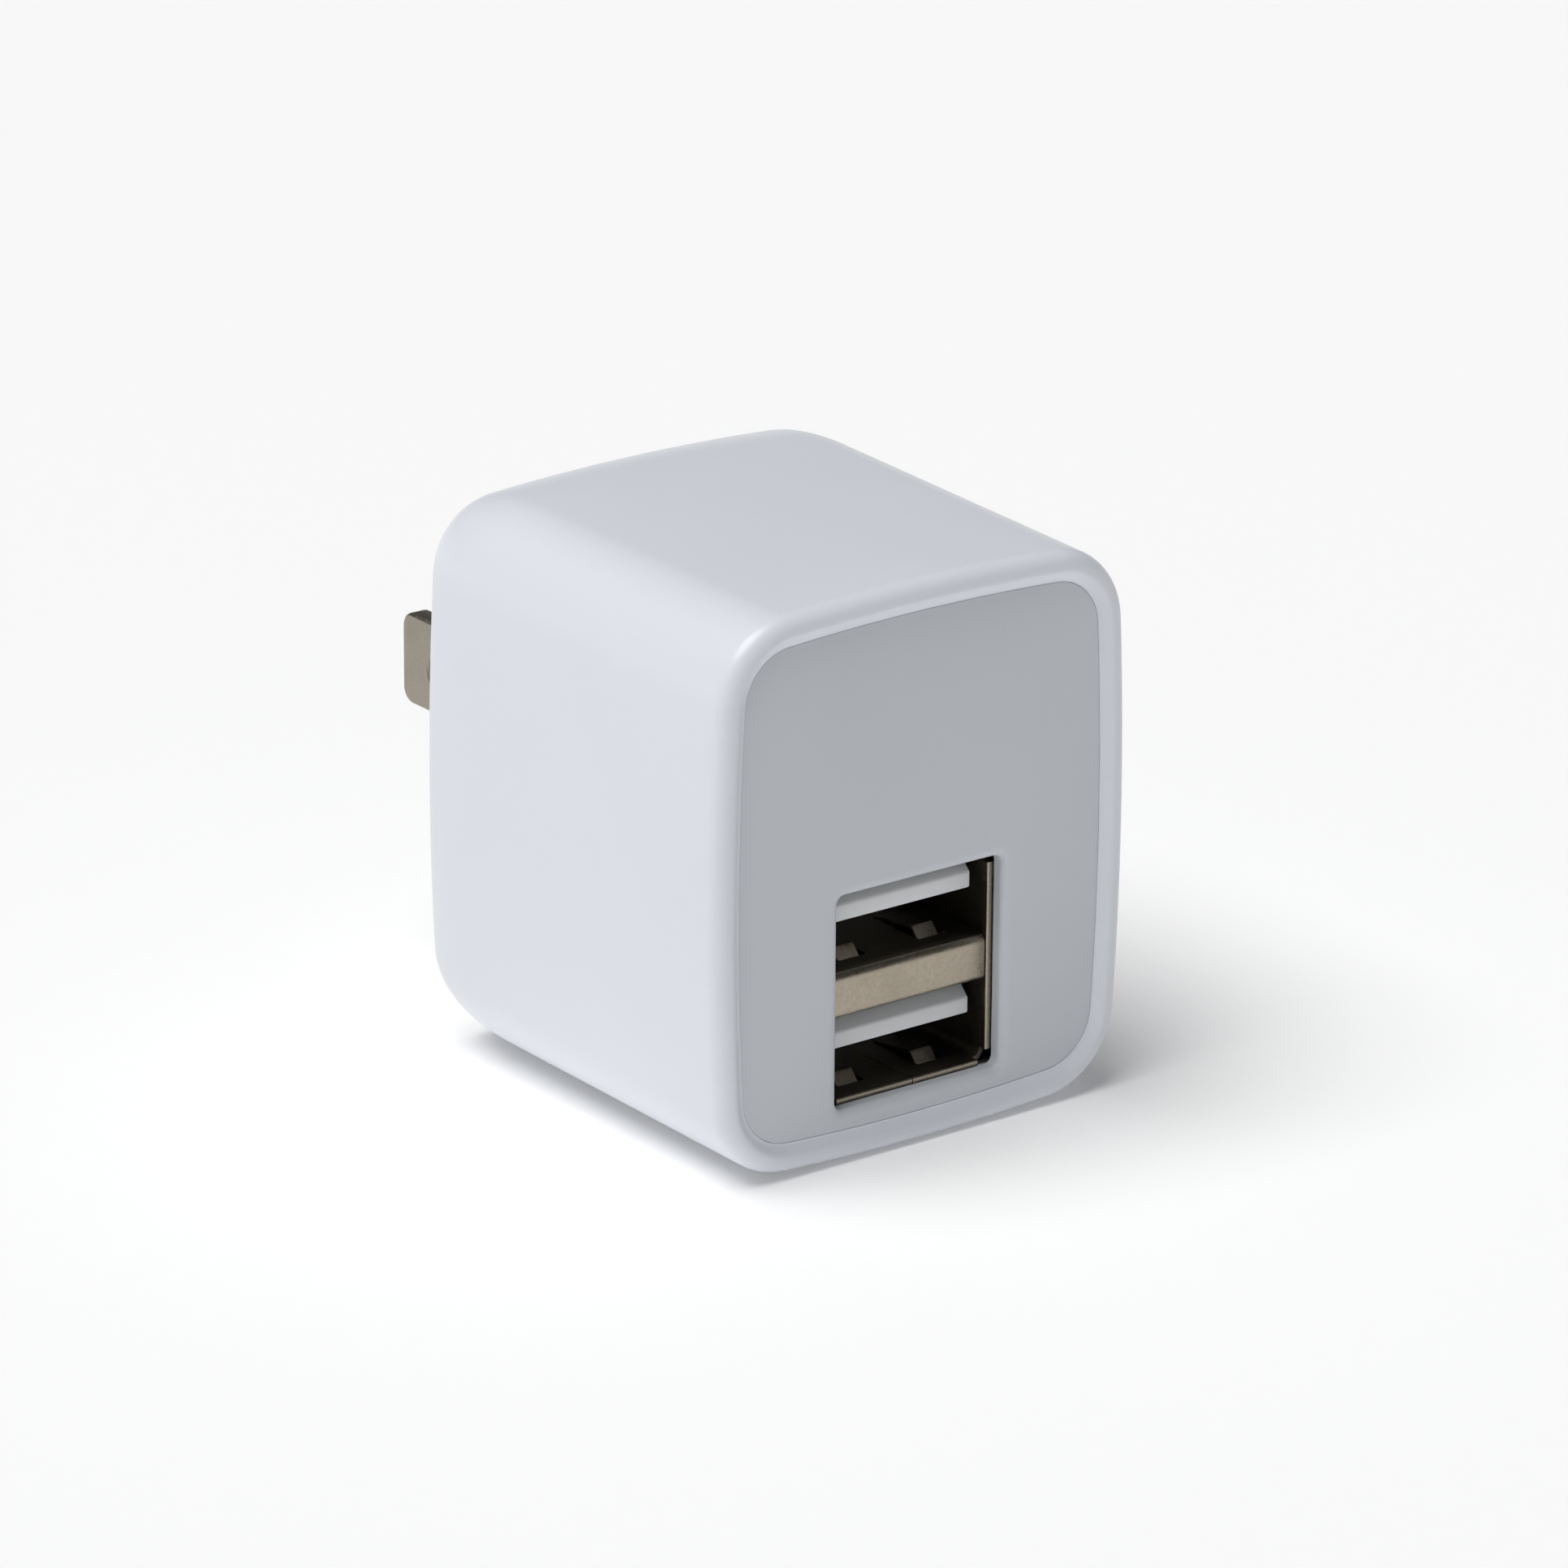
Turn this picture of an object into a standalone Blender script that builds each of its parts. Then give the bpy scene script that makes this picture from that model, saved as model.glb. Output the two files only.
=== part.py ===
"""Two-port USB wall charger with a fixed two-blade plug, as separate solids. Metres, +Z up.

The ports face -Y and the blades point along +Y. The origin is at the middle of the bounding box's base.
"""

import math

import bmesh
import bpy
from mathutils import Matrix, Vector

MM = 0.001
GAP = 0.3 * MM
CUTTER_MARGIN = 0.5 * MM

# Casing: a rounded-square tube with bulging sides that opens out slightly towards the back
FRONT_WIDTH = 33.0 * MM
BACK_WIDTH = 33.8 * MM
FRONT_HEIGHT = 38.0 * MM
BACK_HEIGHT = 38.6 * MM
BODY_DEPTH = 32.4 * MM
TOP_BULGE_RADIUS = 176.0 * MM
SIDE_BULGE_RADIUS = 226.0 * MM
CORNER_RADIUS_TOP = 5.7 * MM
FRONT_CORNER_RADIUS_BOTTOM = 5.8 * MM
BACK_CORNER_RADIUS_BOTTOM = 7.2 * MM
WALL = 1.8 * MM
BEAD_WIDTH = 2.05 * MM
BEAD_OUTER_RADIUS = 1.15 * MM
LEDGE_INSET = 3.0 * MM
LEDGE_DEPTH = 1.2 * MM
BACK_EDGE_INSET = 1.5 * MM
BACK_EDGE_DEPTH = 6.0 * MM
BACK_RIM_INSET = 2.8 * MM
BACK_RIM_DEPTH = 7.0 * MM
PANEL_RECESS = 0.5 * MM
PANEL_THICKNESS = 1.05 * MM
PANEL_EDGE_GAP = 0.15 * MM
PANEL_EDGE_CHAMFER = 0.2 * MM
COVER_THICKNESS = 2.0 * MM
COVER_SKIRT_LENGTH = 4.0 * MM
COVER_SKIRT_THICKNESS = 1.2 * MM
COVER_SETBACK = 0.2 * MM
COVER_CHAMFER = 0.4 * MM

# Window in the front panel
WINDOW_X = 0.11 * MM
WINDOW_WIDTH = 13.22 * MM
WINDOW_BOTTOM = 3.45 * MM
WINDOW_TOP = 18.0 * MM
WINDOW_CORNER_RADIUS = 0.6 * MM
WINDOW_CHAMFER_WIDTH = 0.6 * MM
WINDOW_CHAMFER_DEPTH = 0.4 * MM

# NEMA 1-15 blades
BLADE_SPACING = 12.7 * MM
BLADE_WIDTH = 6.35 * MM
BLADE_THICKNESS = 1.5 * MM
BLADE_LENGTH = 15.3 * MM
BLADE_Z = 21.0 * MM
BLADE_TIP_RADIUS = 1.05 * MM
BLADE_HOLE_RADIUS = 1.6 * MM
BLADE_HOLE_FROM_TIP = 4.5 * MM
BLADE_TAIL_WIDTH = 2.8 * MM
BLADE_TAIL_LENGTH = 5.3 * MM
BLADE_EDGE = 0.2 * MM
BLADE_ROOT_THICKNESS = 1.3 * MM
BLADE_ROOT_OVERLAP = 0.5 * MM
BLADE_START_DEPTH = 0.1 * MM
BLADE_SHOULDER_DEPTH = 3.0 * MM
BLADE_SLOT_ROOM = 0.15 * MM
RETAINER_HALF_WIDTH = 10.2 * MM
RETAINER_HALF_HEIGHT = 4.6 * MM
RETAINER_DEPTH = 3.5 * MM
RETAINER_EDGE = 0.4 * MM
LEAD_RADIUS = 0.6 * MM
LEAD_BEND = 1.0 * MM
LEAD_STRAIGHT = 0.6 * MM

# Stacked USB-A socket
SHEET = 0.35 * MM
SHELL_WIDTH = 13.3 * MM
SHELL_BOTTOM = 3.45 * MM
SHELL_SETBACK = 1.15 * MM
SHELL_LENGTH = 13.0 * MM
SHELL_CORNER_RADIUS = 0.9 * MM
PORT_HEIGHT = 5.42 * MM
DIVIDER_HEIGHT = 3.2 * MM
DIVIDER_LENGTH = 9.0 * MM
DIVIDER_WIDTH = 12.5 * MM
DIVIDER_TOP_BEND = 0.75 * MM
DIVIDER_BOTTOM_BEND = 0.4 * MM
TONGUE_WIDTH = 11.1 * MM
TONGUE_THICKNESS = 1.84 * MM
TONGUE_TOP_SPACE = 0.52 * MM
TONGUE_SETBACK = 0.85 * MM
TONGUE_BEVEL = 0.75 * MM
BLOCK_START = 9.3 * MM
BLOCK_LENGTH = 3.5 * MM
BLOCK_HALF_WIDTH = 5.95 * MM
BLOCK_ROOM = 0.1 * MM
BLOCK_SPLIT_ROOM = 0.15 * MM
DIVIDER_SETBACK = 0.1 * MM
CONTACT_WIDTH = 0.9 * MM
CONTACT_THICKNESS = 0.25 * MM
CONTACT_X = (-3.5 * MM, -1.0 * MM, 1.0 * MM, 3.5 * MM)
CONTACT_START = 1.5 * MM
LOWER_TAIL = 13.3 * MM
UPPER_TAIL = 14.6 * MM
LEG_WIDTH = 1.2 * MM
LEG_Y = (5.0 * MM, 11.0 * MM)
LEG_OVERLAP = 2.0 * MM
LEG_INSET = 0.02 * MM
TAIL_LENGTH_BELOW_BOARD = 0.15 * MM

# Circuit boards
USB_BOARD_BOTTOM = 2.4 * MM
USB_BOARD_THICKNESS = 0.8 * MM
USB_BOARD_WIDTH = 18.0 * MM
USB_BOARD_BACK = 18.0 * MM
BOARD_SLOT_ROOM = 0.15 * MM
MAIN_BOARD_BOTTOM = 19.1 * MM
MAIN_BOARD_THICKNESS = 1.2 * MM
MAIN_BOARD_WIDTH = 28.0 * MM
INSULATION_THICKNESS = 0.25 * MM
INSULATION_WIDTH = 25.0 * MM
INSULATION_BACK = 15.6 * MM
LINK_PIN_SIZE = 0.64 * MM
LINK_PIN_X = (-2.54 * MM, 0.0, 2.54 * MM)
LINK_PIN_Y = 16.4 * MM
LINK_PIN_ABOVE_BOARD = 0.3 * MM

# Parts on the boards: each centre, and each size as width, length and height
CAPACITOR_X = 11.1 * MM
CAPACITOR_RADIUS = 3.15 * MM
INPUT_CAPACITOR_Y = (-1.6 * MM, -8.4 * MM)
INPUT_CAPACITOR_HEIGHT = 11.0 * MM
OUTPUT_CAPACITOR_Y = -16.2 * MM
OUTPUT_CAPACITOR_HEIGHT = 9.0 * MM
BRIDGE_CENTRE = (-11.5 * MM, -9.6 * MM)
BRIDGE_SIZE = (4.6 * MM, 4.0 * MM, 2.4 * MM)
CONTROLLER_CENTRE = (-11.5 * MM, -15.8 * MM)
CONTROLLER_SIZE = (3.9 * MM, 4.9 * MM, 1.5 * MM)
OPTOCOUPLER_CENTRE = (5.6 * MM, -12.4 * MM)
OPTOCOUPLER_SIZE = (4.0 * MM, 6.4 * MM, 3.4 * MM)
DIODE_CENTRE = (5.6 * MM, -18.2 * MM)
DIODE_SIZE = (4.0 * MM, 2.6 * MM, 2.2 * MM)
PORT_CHIP_X = 6.7 * MM
PORT_CHIP_BEHIND_SHELL_FRONT = 16.0 * MM
PORT_CHIP_SIZE = (3.0 * MM, 2.8 * MM, 1.2 * MM)
CHIP_EDGE = 0.15 * MM
CHOKE_CENTRE = (0.0, -1.9 * MM)
FUSE_CENTRE = (-11.5 * MM, -3.2 * MM)
FUSE_AXIS_HEIGHT = 2.1 * MM
Y_CAPACITOR_CENTRE = (0.6 * MM, -6.5 * MM)
Y_CAPACITOR_CLEARANCE = 0.5 * MM
TRANSFORMER_CENTRE = (-2.9 * MM, -13.7 * MM)
TRANSFORMER_HALF_HEIGHT = 5.8 * MM

# Planes worked out from the dimensions above
FRONT = -(BODY_DEPTH + BLADE_LENGTH) / 2
BACK = FRONT + BODY_DEPTH
PANEL_BACK = PANEL_RECESS + PANEL_THICKNESS
SHELL_FRONT = FRONT + PANEL_RECESS + SHELL_SETBACK
SHELL_TOP = SHELL_BOTTOM + 2 * SHEET + 2 * PORT_HEIGHT + DIVIDER_HEIGHT
LOWER_PORT_TOP = SHELL_BOTTOM + SHEET + PORT_HEIGHT
UPPER_PORT_TOP = SHELL_TOP - SHEET
USB_BOARD_TOP = USB_BOARD_BOTTOM + USB_BOARD_THICKNESS
MAIN_BOARD_TOP = MAIN_BOARD_BOTTOM + MAIN_BOARD_THICKNESS
COVER_INNER = BACK - COVER_THICKNESS
BLADE_TAIL_END = COVER_INNER - BLADE_SHOULDER_DEPTH - BLADE_TAIL_LENGTH
BOARD_FRONT = FRONT + PANEL_BACK + GAP + LEDGE_DEPTH + GAP
TAIL_END_Z = USB_BOARD_BOTTOM - TAIL_LENGTH_BELOW_BOARD

# Facets: the bulging sides have an odd count, so a flat facet lies at the middle of the base
SIDE_FACETS = 7
BEAD_SLOPE_FACETS = 5
BEAD_FACETS = 4
BACK_EDGE_FACETS = 6
CORNER_FACETS = 6
BEND_FACETS = 4
ROUND_SIDES = 20
SHARP_ANGLE = math.radians(35)

MATERIALS = {
    "white_gloss": ((0.79, 0.81, 0.87), 0.18, 0.0),
    "panel_gloss": ((0.585, 0.605, 0.635), 0.22, 0.0),
    "cover_white": ((0.78, 0.80, 0.83), 0.35, 0.0),
    "blade_nickel": ((0.40, 0.36, 0.30), 0.30, 1.0),
    "socket_steel": ((0.40, 0.36, 0.30), 0.28, 1.0),
    "socket_plastic": ((0.62, 0.66, 0.70), 0.40, 0.0),
    "contact_gold": ((0.85, 0.62, 0.25), 0.25, 1.0),
    "board_green": ((0.05, 0.22, 0.10), 0.45, 0.0),
    "film": ((0.75, 0.74, 0.62), 0.40, 0.0),
    "chip_black": ((0.03, 0.03, 0.035), 0.50, 0.0),
    "ferrite": ((0.10, 0.10, 0.11), 0.60, 0.0),
    "bobbin_plastic": ((0.08, 0.08, 0.08), 0.50, 0.0),
    "tape_yellow": ((0.85, 0.65, 0.10), 0.40, 0.0),
    "capacitor_sleeve": ((0.05, 0.07, 0.16), 0.35, 0.0),
    "capacitor_blue": ((0.08, 0.25, 0.60), 0.40, 0.0),
    "resistor_green": ((0.15, 0.35, 0.25), 0.50, 0.0),
    "lead_red": ((0.60, 0.05, 0.04), 0.45, 0.0),
    "lead_black": ((0.03, 0.03, 0.03), 0.45, 0.0),
}


# ---------------------------------------------------------------- helpers


def clear_scene():
    for obj in list(bpy.data.objects):
        bpy.data.objects.remove(obj, do_unlink=True)


def material(name):
    """A Principled material from the table, made once."""
    found = bpy.data.materials.get(name)
    if found:
        return found
    colour, roughness, metallic = MATERIALS[name]
    made = bpy.data.materials.new(name)
    made.use_nodes = True
    shader = made.node_tree.nodes["Principled BSDF"]
    shader.inputs["Base Color"].default_value = (*colour, 1.0)
    shader.inputs["Roughness"].default_value = roughness
    shader.inputs["Metallic"].default_value = metallic
    return made


def add_object(name, bm, material_name, location=(0, 0, 0)):
    """Turns the bmesh into a named, smooth-shaded object with sharp edges kept."""
    bmesh.ops.recalc_face_normals(bm, faces=bm.faces)
    mesh = bpy.data.meshes.new(name)
    bm.to_mesh(mesh)
    bm.free()
    mesh.shade_smooth()
    mesh.set_sharp_from_angle(angle=SHARP_ANGLE)
    obj = bpy.data.objects.new(name, mesh)
    obj.location = location
    if material_name:
        mesh.materials.append(material(material_name))
    bpy.context.scene.collection.objects.link(obj)
    return obj


def cut(obj, cutter):
    """Subtracts the cutter from the object and keeps it as a hidden guide."""
    cutter.hide_render = True
    cutter.display_type = "WIRE"
    modifier = obj.modifiers.new("cut_" + cutter.name, "BOOLEAN")
    modifier.operation = "DIFFERENCE"
    modifier.solver = "EXACT"
    modifier.object = cutter


def join(obj, other):
    """Unites the other solid with the object and keeps it as a hidden guide."""
    other.hide_render = True
    other.display_type = "WIRE"
    modifier = obj.modifiers.new("join_" + other.name, "BOOLEAN")
    modifier.operation = "UNION"
    modifier.solver = "EXACT"
    modifier.object = other


def add_box(bm, low, high):
    """A box between two corners, added to the bmesh."""
    low = Vector(low)
    high = Vector(high)
    size = high - low
    matrix = Matrix.Translation((low + high) / 2) @ Matrix.Diagonal((*size, 1.0))
    bmesh.ops.create_cube(bm, size=1.0, matrix=matrix)


def boxes(name, corners, material_name=None):
    """One object holding a box for each (low, high) pair."""
    bm = bmesh.new()
    for low, high in corners:
        add_box(bm, low, high)
    return add_object(name, bm, material_name)


def bevelled_box(name, low, high, material_name, edge):
    """A box with its edges bevelled, with its origin at the middle of its base."""
    base = Vector(((low[0] + high[0]) / 2, (low[1] + high[1]) / 2, low[2]))
    bm = bmesh.new()
    add_box(bm, Vector(low) - base, Vector(high) - base)
    bmesh.ops.bevel(bm, geom=bm.edges[:], offset=edge, segments=1, affect="EDGES")
    return add_object(name, bm, material_name, base)


def loft(bm, rings, closed=False):
    """Skins a list of point rings; open ends are capped, a closed loft joins its last ring to its first."""
    loops = [[bm.verts.new(point) for point in ring] for ring in rings]
    pairs = list(zip(loops, loops[1:]))
    if closed:
        pairs.append((loops[-1], loops[0]))
    else:
        bm.faces.new(loops[0])
        bm.faces.new(loops[-1])
    for first, second in pairs:
        count = len(first)
        for i in range(count):
            j = (i + 1) % count
            bm.faces.new((first[i], first[j], second[j], second[i]))


def extrude_yz(name, outline, x_low, x_high, material_name):
    """A plate whose (y, z) outline is extruded along X."""
    bm = bmesh.new()
    loft(bm, [[(x, y, z) for y, z in outline] for x in (x_low, x_high)])
    return add_object(name, bm, material_name)


def arc(centre, radius, start, end, facets):
    """Points on an arc in a plane, both ends included; angles in radians."""
    return [polar(centre, radius, blend(start, end, k / facets)) for k in range(facets + 1)]


def polar(centre, radius, angle):
    return centre[0] + radius * math.cos(angle), centre[1] + radius * math.sin(angle)


def blend(first, second, share):
    return first + (second - first) * share


def rounded_rectangle(half_width, low, high, radius, facets=3):
    """(x, z) outline of a rectangle with round corners, anticlockwise from the lower right."""
    points = []
    corners = (
        (half_width - radius, low + radius, -math.pi / 2),
        (half_width - radius, high - radius, 0.0),
        (-half_width + radius, high - radius, math.pi / 2),
        (-half_width + radius, low + radius, math.pi),
    )
    for x, z, start in corners:
        points += arc((x, z), radius, start, start + math.pi / 2, facets)
    return points


def turned(name, profile, material_name, location, sides=ROUND_SIDES):
    """A solid of revolution about +Z from (radius, z) points, bottom to top, capped at both ends."""
    bm = bmesh.new()
    turns = [2 * math.pi * k / sides for k in range(sides)]
    loft(bm, [[(r * math.cos(a), r * math.sin(a), z) for a in turns] for r, z in profile])
    return add_object(name, bm, material_name, location)


# ---------------------------------------------------------------- casing


def quarter_outline(half_width, half_height, inset, corner_radius):
    """(x, z) points of one quarter of a section, from the middle facet of its side to that of its top.

    Three arcs that meet in tangents: the bulging side, the corner and the bulging top.
    """
    side_radius = SIDE_BULGE_RADIUS - inset
    top_radius = TOP_BULGE_RADIUS - inset
    radius = corner_radius - inset
    side_centre = Vector((half_width - SIDE_BULGE_RADIUS, 0.0))
    top_centre = Vector((0.0, half_height - TOP_BULGE_RADIUS))
    from_side = side_radius - radius
    from_top = top_radius - radius
    between = side_centre - top_centre
    distance = between.length
    along = (from_top**2 - from_side**2 + distance**2) / (2 * distance)
    across = math.sqrt(from_top**2 - along**2)
    direction = between / distance
    centre = top_centre + direction * along + Vector((direction.y, -direction.x)) * across
    side_angle = math.atan2(centre.y - side_centre.y, centre.x - side_centre.x)
    top_angle = math.atan2(centre.y - top_centre.y, centre.x - top_centre.x)
    shares = [(k + 0.5) / (SIDE_FACETS / 2) for k in range(SIDE_FACETS // 2)]
    points = [polar(side_centre, side_radius, side_angle * share) for share in shares]
    points += arc(centre, radius, side_angle, top_angle, CORNER_FACETS)
    spread = math.pi / 2 - top_angle
    points += [polar(top_centre, top_radius, math.pi / 2 - spread * share) for share in reversed(shares)]
    return points


def section(inset, depth):
    """The casing's outline moved in by the inset, at this depth behind the front, as world points."""
    share = depth / BODY_DEPTH
    half_width = blend(FRONT_WIDTH, BACK_WIDTH, share) / 2
    half_height = blend(FRONT_HEIGHT, BACK_HEIGHT, share) / 2
    lower_radius = blend(FRONT_CORNER_RADIUS_BOTTOM, BACK_CORNER_RADIUS_BOTTOM, share)
    upper = quarter_outline(half_width, half_height, inset, CORNER_RADIUS_TOP)
    lower = quarter_outline(half_width, half_height, inset, lower_radius)
    right = [(x, -z) for x, z in reversed(lower)] + upper
    whole = right + [(-x, z) for x, z in reversed(right)]
    return [(x, FRONT + depth, half_height + z) for x, z in whole]


def bead_slope():
    """(inset, depth) points of the soft slope from the bead's crest down to the panel's face."""
    shares = [k / BEAD_SLOPE_FACETS for k in range(1, BEAD_SLOPE_FACETS + 1)]
    return [
        (
            blend(BEAD_OUTER_RADIUS, BEAD_WIDTH, share),
            PANEL_RECESS * (1 - math.cos(math.pi * share)) / 2,
        )
        for share in shares
    ]


def housing_sleeve():
    front_bead = arc((BEAD_OUTER_RADIUS,) * 2, BEAD_OUTER_RADIUS, math.pi, 1.5 * math.pi, BEAD_FACETS)
    unit_arc = arc((1.0, 0.0), 1.0, math.pi / 2, math.pi, BACK_EDGE_FACETS)
    back_edge_start = BODY_DEPTH - BACK_EDGE_DEPTH
    back_edge = [(x * BACK_EDGE_INSET, back_edge_start + y * BACK_EDGE_DEPTH) for x, y in unit_arc]
    ledge = PANEL_BACK + PANEL_EDGE_GAP
    profile = back_edge + front_bead + bead_slope()
    profile += [
        (BEAD_WIDTH, ledge),
        (LEDGE_INSET, ledge),
        (LEDGE_INSET, ledge + LEDGE_DEPTH),
        (WALL, ledge + LEDGE_DEPTH),
        (WALL, BODY_DEPTH - BACK_RIM_DEPTH - (BACK_RIM_INSET - WALL)),
        (BACK_RIM_INSET, BODY_DEPTH - BACK_RIM_DEPTH),
        (BACK_RIM_INSET, BODY_DEPTH),
    ]
    bm = bmesh.new()
    loft(bm, [section(inset, depth) for inset, depth in profile], closed=True)
    return add_object("housing_sleeve", bm, "white_gloss")


def front_panel():
    edge = BEAD_WIDTH + PANEL_EDGE_GAP
    profile = [
        (edge, PANEL_BACK),
        (edge, PANEL_RECESS + PANEL_EDGE_CHAMFER),
        (edge + PANEL_EDGE_CHAMFER, PANEL_RECESS),
    ]
    bm = bmesh.new()
    loft(bm, [section(inset, depth) for inset, depth in profile])
    panel = add_object("front_panel", bm, "panel_gloss")
    cut(panel, window_cutter())


def window_cutter():
    """Runs through the panel and widens towards the front by the chamfer."""
    slope = WINDOW_CHAMFER_WIDTH / WINDOW_CHAMFER_DEPTH
    steps = (
        (PANEL_RECESS - CUTTER_MARGIN, WINDOW_CHAMFER_WIDTH + CUTTER_MARGIN * slope),
        (PANEL_RECESS + WINDOW_CHAMFER_DEPTH, 0.0),
        (PANEL_BACK + CUTTER_MARGIN, 0.0),
    )
    rings = []
    for depth, growth in steps:
        outline = rounded_rectangle(
            WINDOW_WIDTH / 2 + growth,
            WINDOW_BOTTOM - growth,
            WINDOW_TOP + growth,
            WINDOW_CORNER_RADIUS + growth,
        )
        rings.append([(WINDOW_X + x, FRONT + depth, z) for x, z in outline])
    bm = bmesh.new()
    loft(bm, rings)
    return add_object("window_cutter", bm, None)


def blade_slots(name, front, back, room):
    """Cutters for the two blades, this much wider than a blade on each side."""
    half_thickness = BLADE_THICKNESS / 2 + room
    half_width = BLADE_WIDTH / 2 + room
    corners = []
    for x in (-BLADE_SPACING / 2, BLADE_SPACING / 2):
        low = (x - half_thickness, front, BLADE_Z - half_width)
        high = (x + half_thickness, back, BLADE_Z + half_width)
        corners.append((low, high))
    return boxes(name, corners)


def rear_cover():
    edge = BACK_RIM_INSET + GAP
    skirt_inner = edge + COVER_SKIRT_THICKNESS
    inner = BODY_DEPTH - COVER_THICKNESS
    profile = [
        (skirt_inner, inner),
        (skirt_inner, inner - COVER_SKIRT_LENGTH),
        (edge, inner - COVER_SKIRT_LENGTH),
        (edge, BODY_DEPTH - COVER_SETBACK - COVER_CHAMFER),
        (edge + COVER_CHAMFER, BODY_DEPTH - COVER_SETBACK),
    ]
    bm = bmesh.new()
    loft(bm, [section(inset, depth) for inset, depth in profile])
    cover = add_object("rear_cover", bm, "cover_white")
    front = COVER_INNER - CUTTER_MARGIN
    cut(cover, blade_slots("cover_slots", front, BACK + CUTTER_MARGIN, BLADE_SLOT_ROOM))


def blade_retainer():
    """The block behind the cover that holds both blades."""
    low = (-RETAINER_HALF_WIDTH, COVER_INNER - RETAINER_DEPTH, BLADE_Z - RETAINER_HALF_HEIGHT)
    high = (RETAINER_HALF_WIDTH, COVER_INNER - GAP, BLADE_Z + RETAINER_HALF_HEIGHT)
    retainer = bevelled_box("blade_retainer", low, high, "cover_white", RETAINER_EDGE)
    cut(retainer, blade_slots("retainer_slots", low[1] - CUTTER_MARGIN, high[1] + CUTTER_MARGIN, GAP))


# ---------------------------------------------------------------- blades and their leads


def blade(name, x):
    """A flat blade with rounded tip corners and a hole near its tip, on a slightly thinner root."""
    tip = BACK + BLADE_LENGTH
    start = BACK - BLADE_START_DEPTH
    half = BLADE_WIDTH / 2
    r = BLADE_TIP_RADIUS
    outline = [(start, half), (start, -half)]
    outline += arc((tip - r, -half + r), r, -math.pi / 2, 0.0, BEND_FACETS)
    outline += arc((tip - r, half - r), r, 0.0, math.pi / 2, BEND_FACETS)
    bm = plate(outline, BLADE_THICKNESS)
    rim = [e for e in bm.edges if on_one_side(e) and not at_depth(e, start)]
    bmesh.ops.bevel(bm, geom=rim, offset=BLADE_EDGE, segments=1, affect="EDGES")
    made = add_object(name, bm, "blade_nickel", (x, 0, BLADE_Z))

    shoulder = COVER_INNER - BLADE_SHOULDER_DEPTH
    inner = half - BLADE_EDGE
    tail_low = half - BLADE_TAIL_WIDTH
    outline = [
        (BLADE_TAIL_END, inner),
        (BLADE_TAIL_END, tail_low),
        (shoulder, tail_low),
        (shoulder, -inner),
        (start + BLADE_ROOT_OVERLAP, -inner),
        (start + BLADE_ROOT_OVERLAP, inner),
    ]
    bm = plate(outline, BLADE_ROOT_THICKNESS)
    join(made, add_object(name + "_root", bm, None, (x, 0, BLADE_Z)))

    hole = turned(
        name + "_hole",
        [(BLADE_HOLE_RADIUS, -BLADE_THICKNESS), (BLADE_HOLE_RADIUS, BLADE_THICKNESS)],
        None,
        (x, tip - BLADE_HOLE_FROM_TIP, BLADE_Z),
    )
    hole.rotation_euler = (0.0, math.pi / 2, 0.0)
    cut(made, hole)


def plate(outline, thickness):
    """A bmesh of a (y, z) outline extruded to this thickness about X = 0."""
    bm = bmesh.new()
    loft(bm, [[(side * thickness / 2, y, z) for y, z in outline] for side in (-1, 1)])
    return bm


def on_one_side(edge):
    return abs(edge.verts[0].co.x - edge.verts[1].co.x) < BLADE_EDGE


def at_depth(edge, y):
    return all(abs(vert.co.y - y) < BLADE_EDGE / 10 for vert in edge.verts)


def lead(name, x, material_name):
    """A short insulated wire from the end of a blade's tail down to the main board."""
    start_y = BLADE_TAIL_END - GAP
    start_z = BLADE_Z + BLADE_WIDTH / 2 - BLADE_TAIL_WIDTH / 2
    bend_centre = (start_y - LEAD_STRAIGHT, start_z - LEAD_BEND)
    path = [(start_y, start_z)]
    path += arc(bend_centre, LEAD_BEND, math.pi / 2, math.pi, BEND_FACETS)
    path.append((bend_centre[0] - LEAD_BEND, MAIN_BOARD_TOP + GAP))
    curve = bpy.data.curves.new(name, "CURVE")
    curve.dimensions = "3D"
    curve.bevel_depth = LEAD_RADIUS
    curve.bevel_resolution = 2
    curve.use_fill_caps = True
    spline = curve.splines.new("POLY")
    spline.points.add(len(path) - 1)
    for point, (y, z) in zip(spline.points, path):
        point.co = (0.0, y, z, 1.0)
    curve.materials.append(material(material_name))
    obj = bpy.data.objects.new(name, curve)
    obj.location = (x, 0, 0)
    bpy.context.scene.collection.objects.link(obj)


# ---------------------------------------------------------------- USB socket


def usb_shell():
    """A folded sheet tube round both ports, with four solder legs."""
    half = SHELL_WIDTH / 2
    outer = rounded_rectangle(half, SHELL_BOTTOM, SHELL_TOP, SHELL_CORNER_RADIUS)
    inner = rounded_rectangle(
        half - SHEET, SHELL_BOTTOM + SHEET, SHELL_TOP - SHEET, SHELL_CORNER_RADIUS - SHEET
    )
    ends = (SHELL_FRONT, SHELL_FRONT + SHELL_LENGTH)
    rings = [
        [(x, ends[1], z) for x, z in outer],
        [(x, ends[0], z) for x, z in outer],
        [(x, ends[0], z) for x, z in inner],
        [(x, ends[1], z) for x, z in inner],
    ]
    bm = bmesh.new()
    loft(bm, rings, closed=True)
    shell = add_object("usb_shell", bm, "socket_steel")
    join(shell, boxes("shell_legs", [leg_box(side, y, 0.0) for side in (-1, 1) for y in LEG_Y]))


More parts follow.
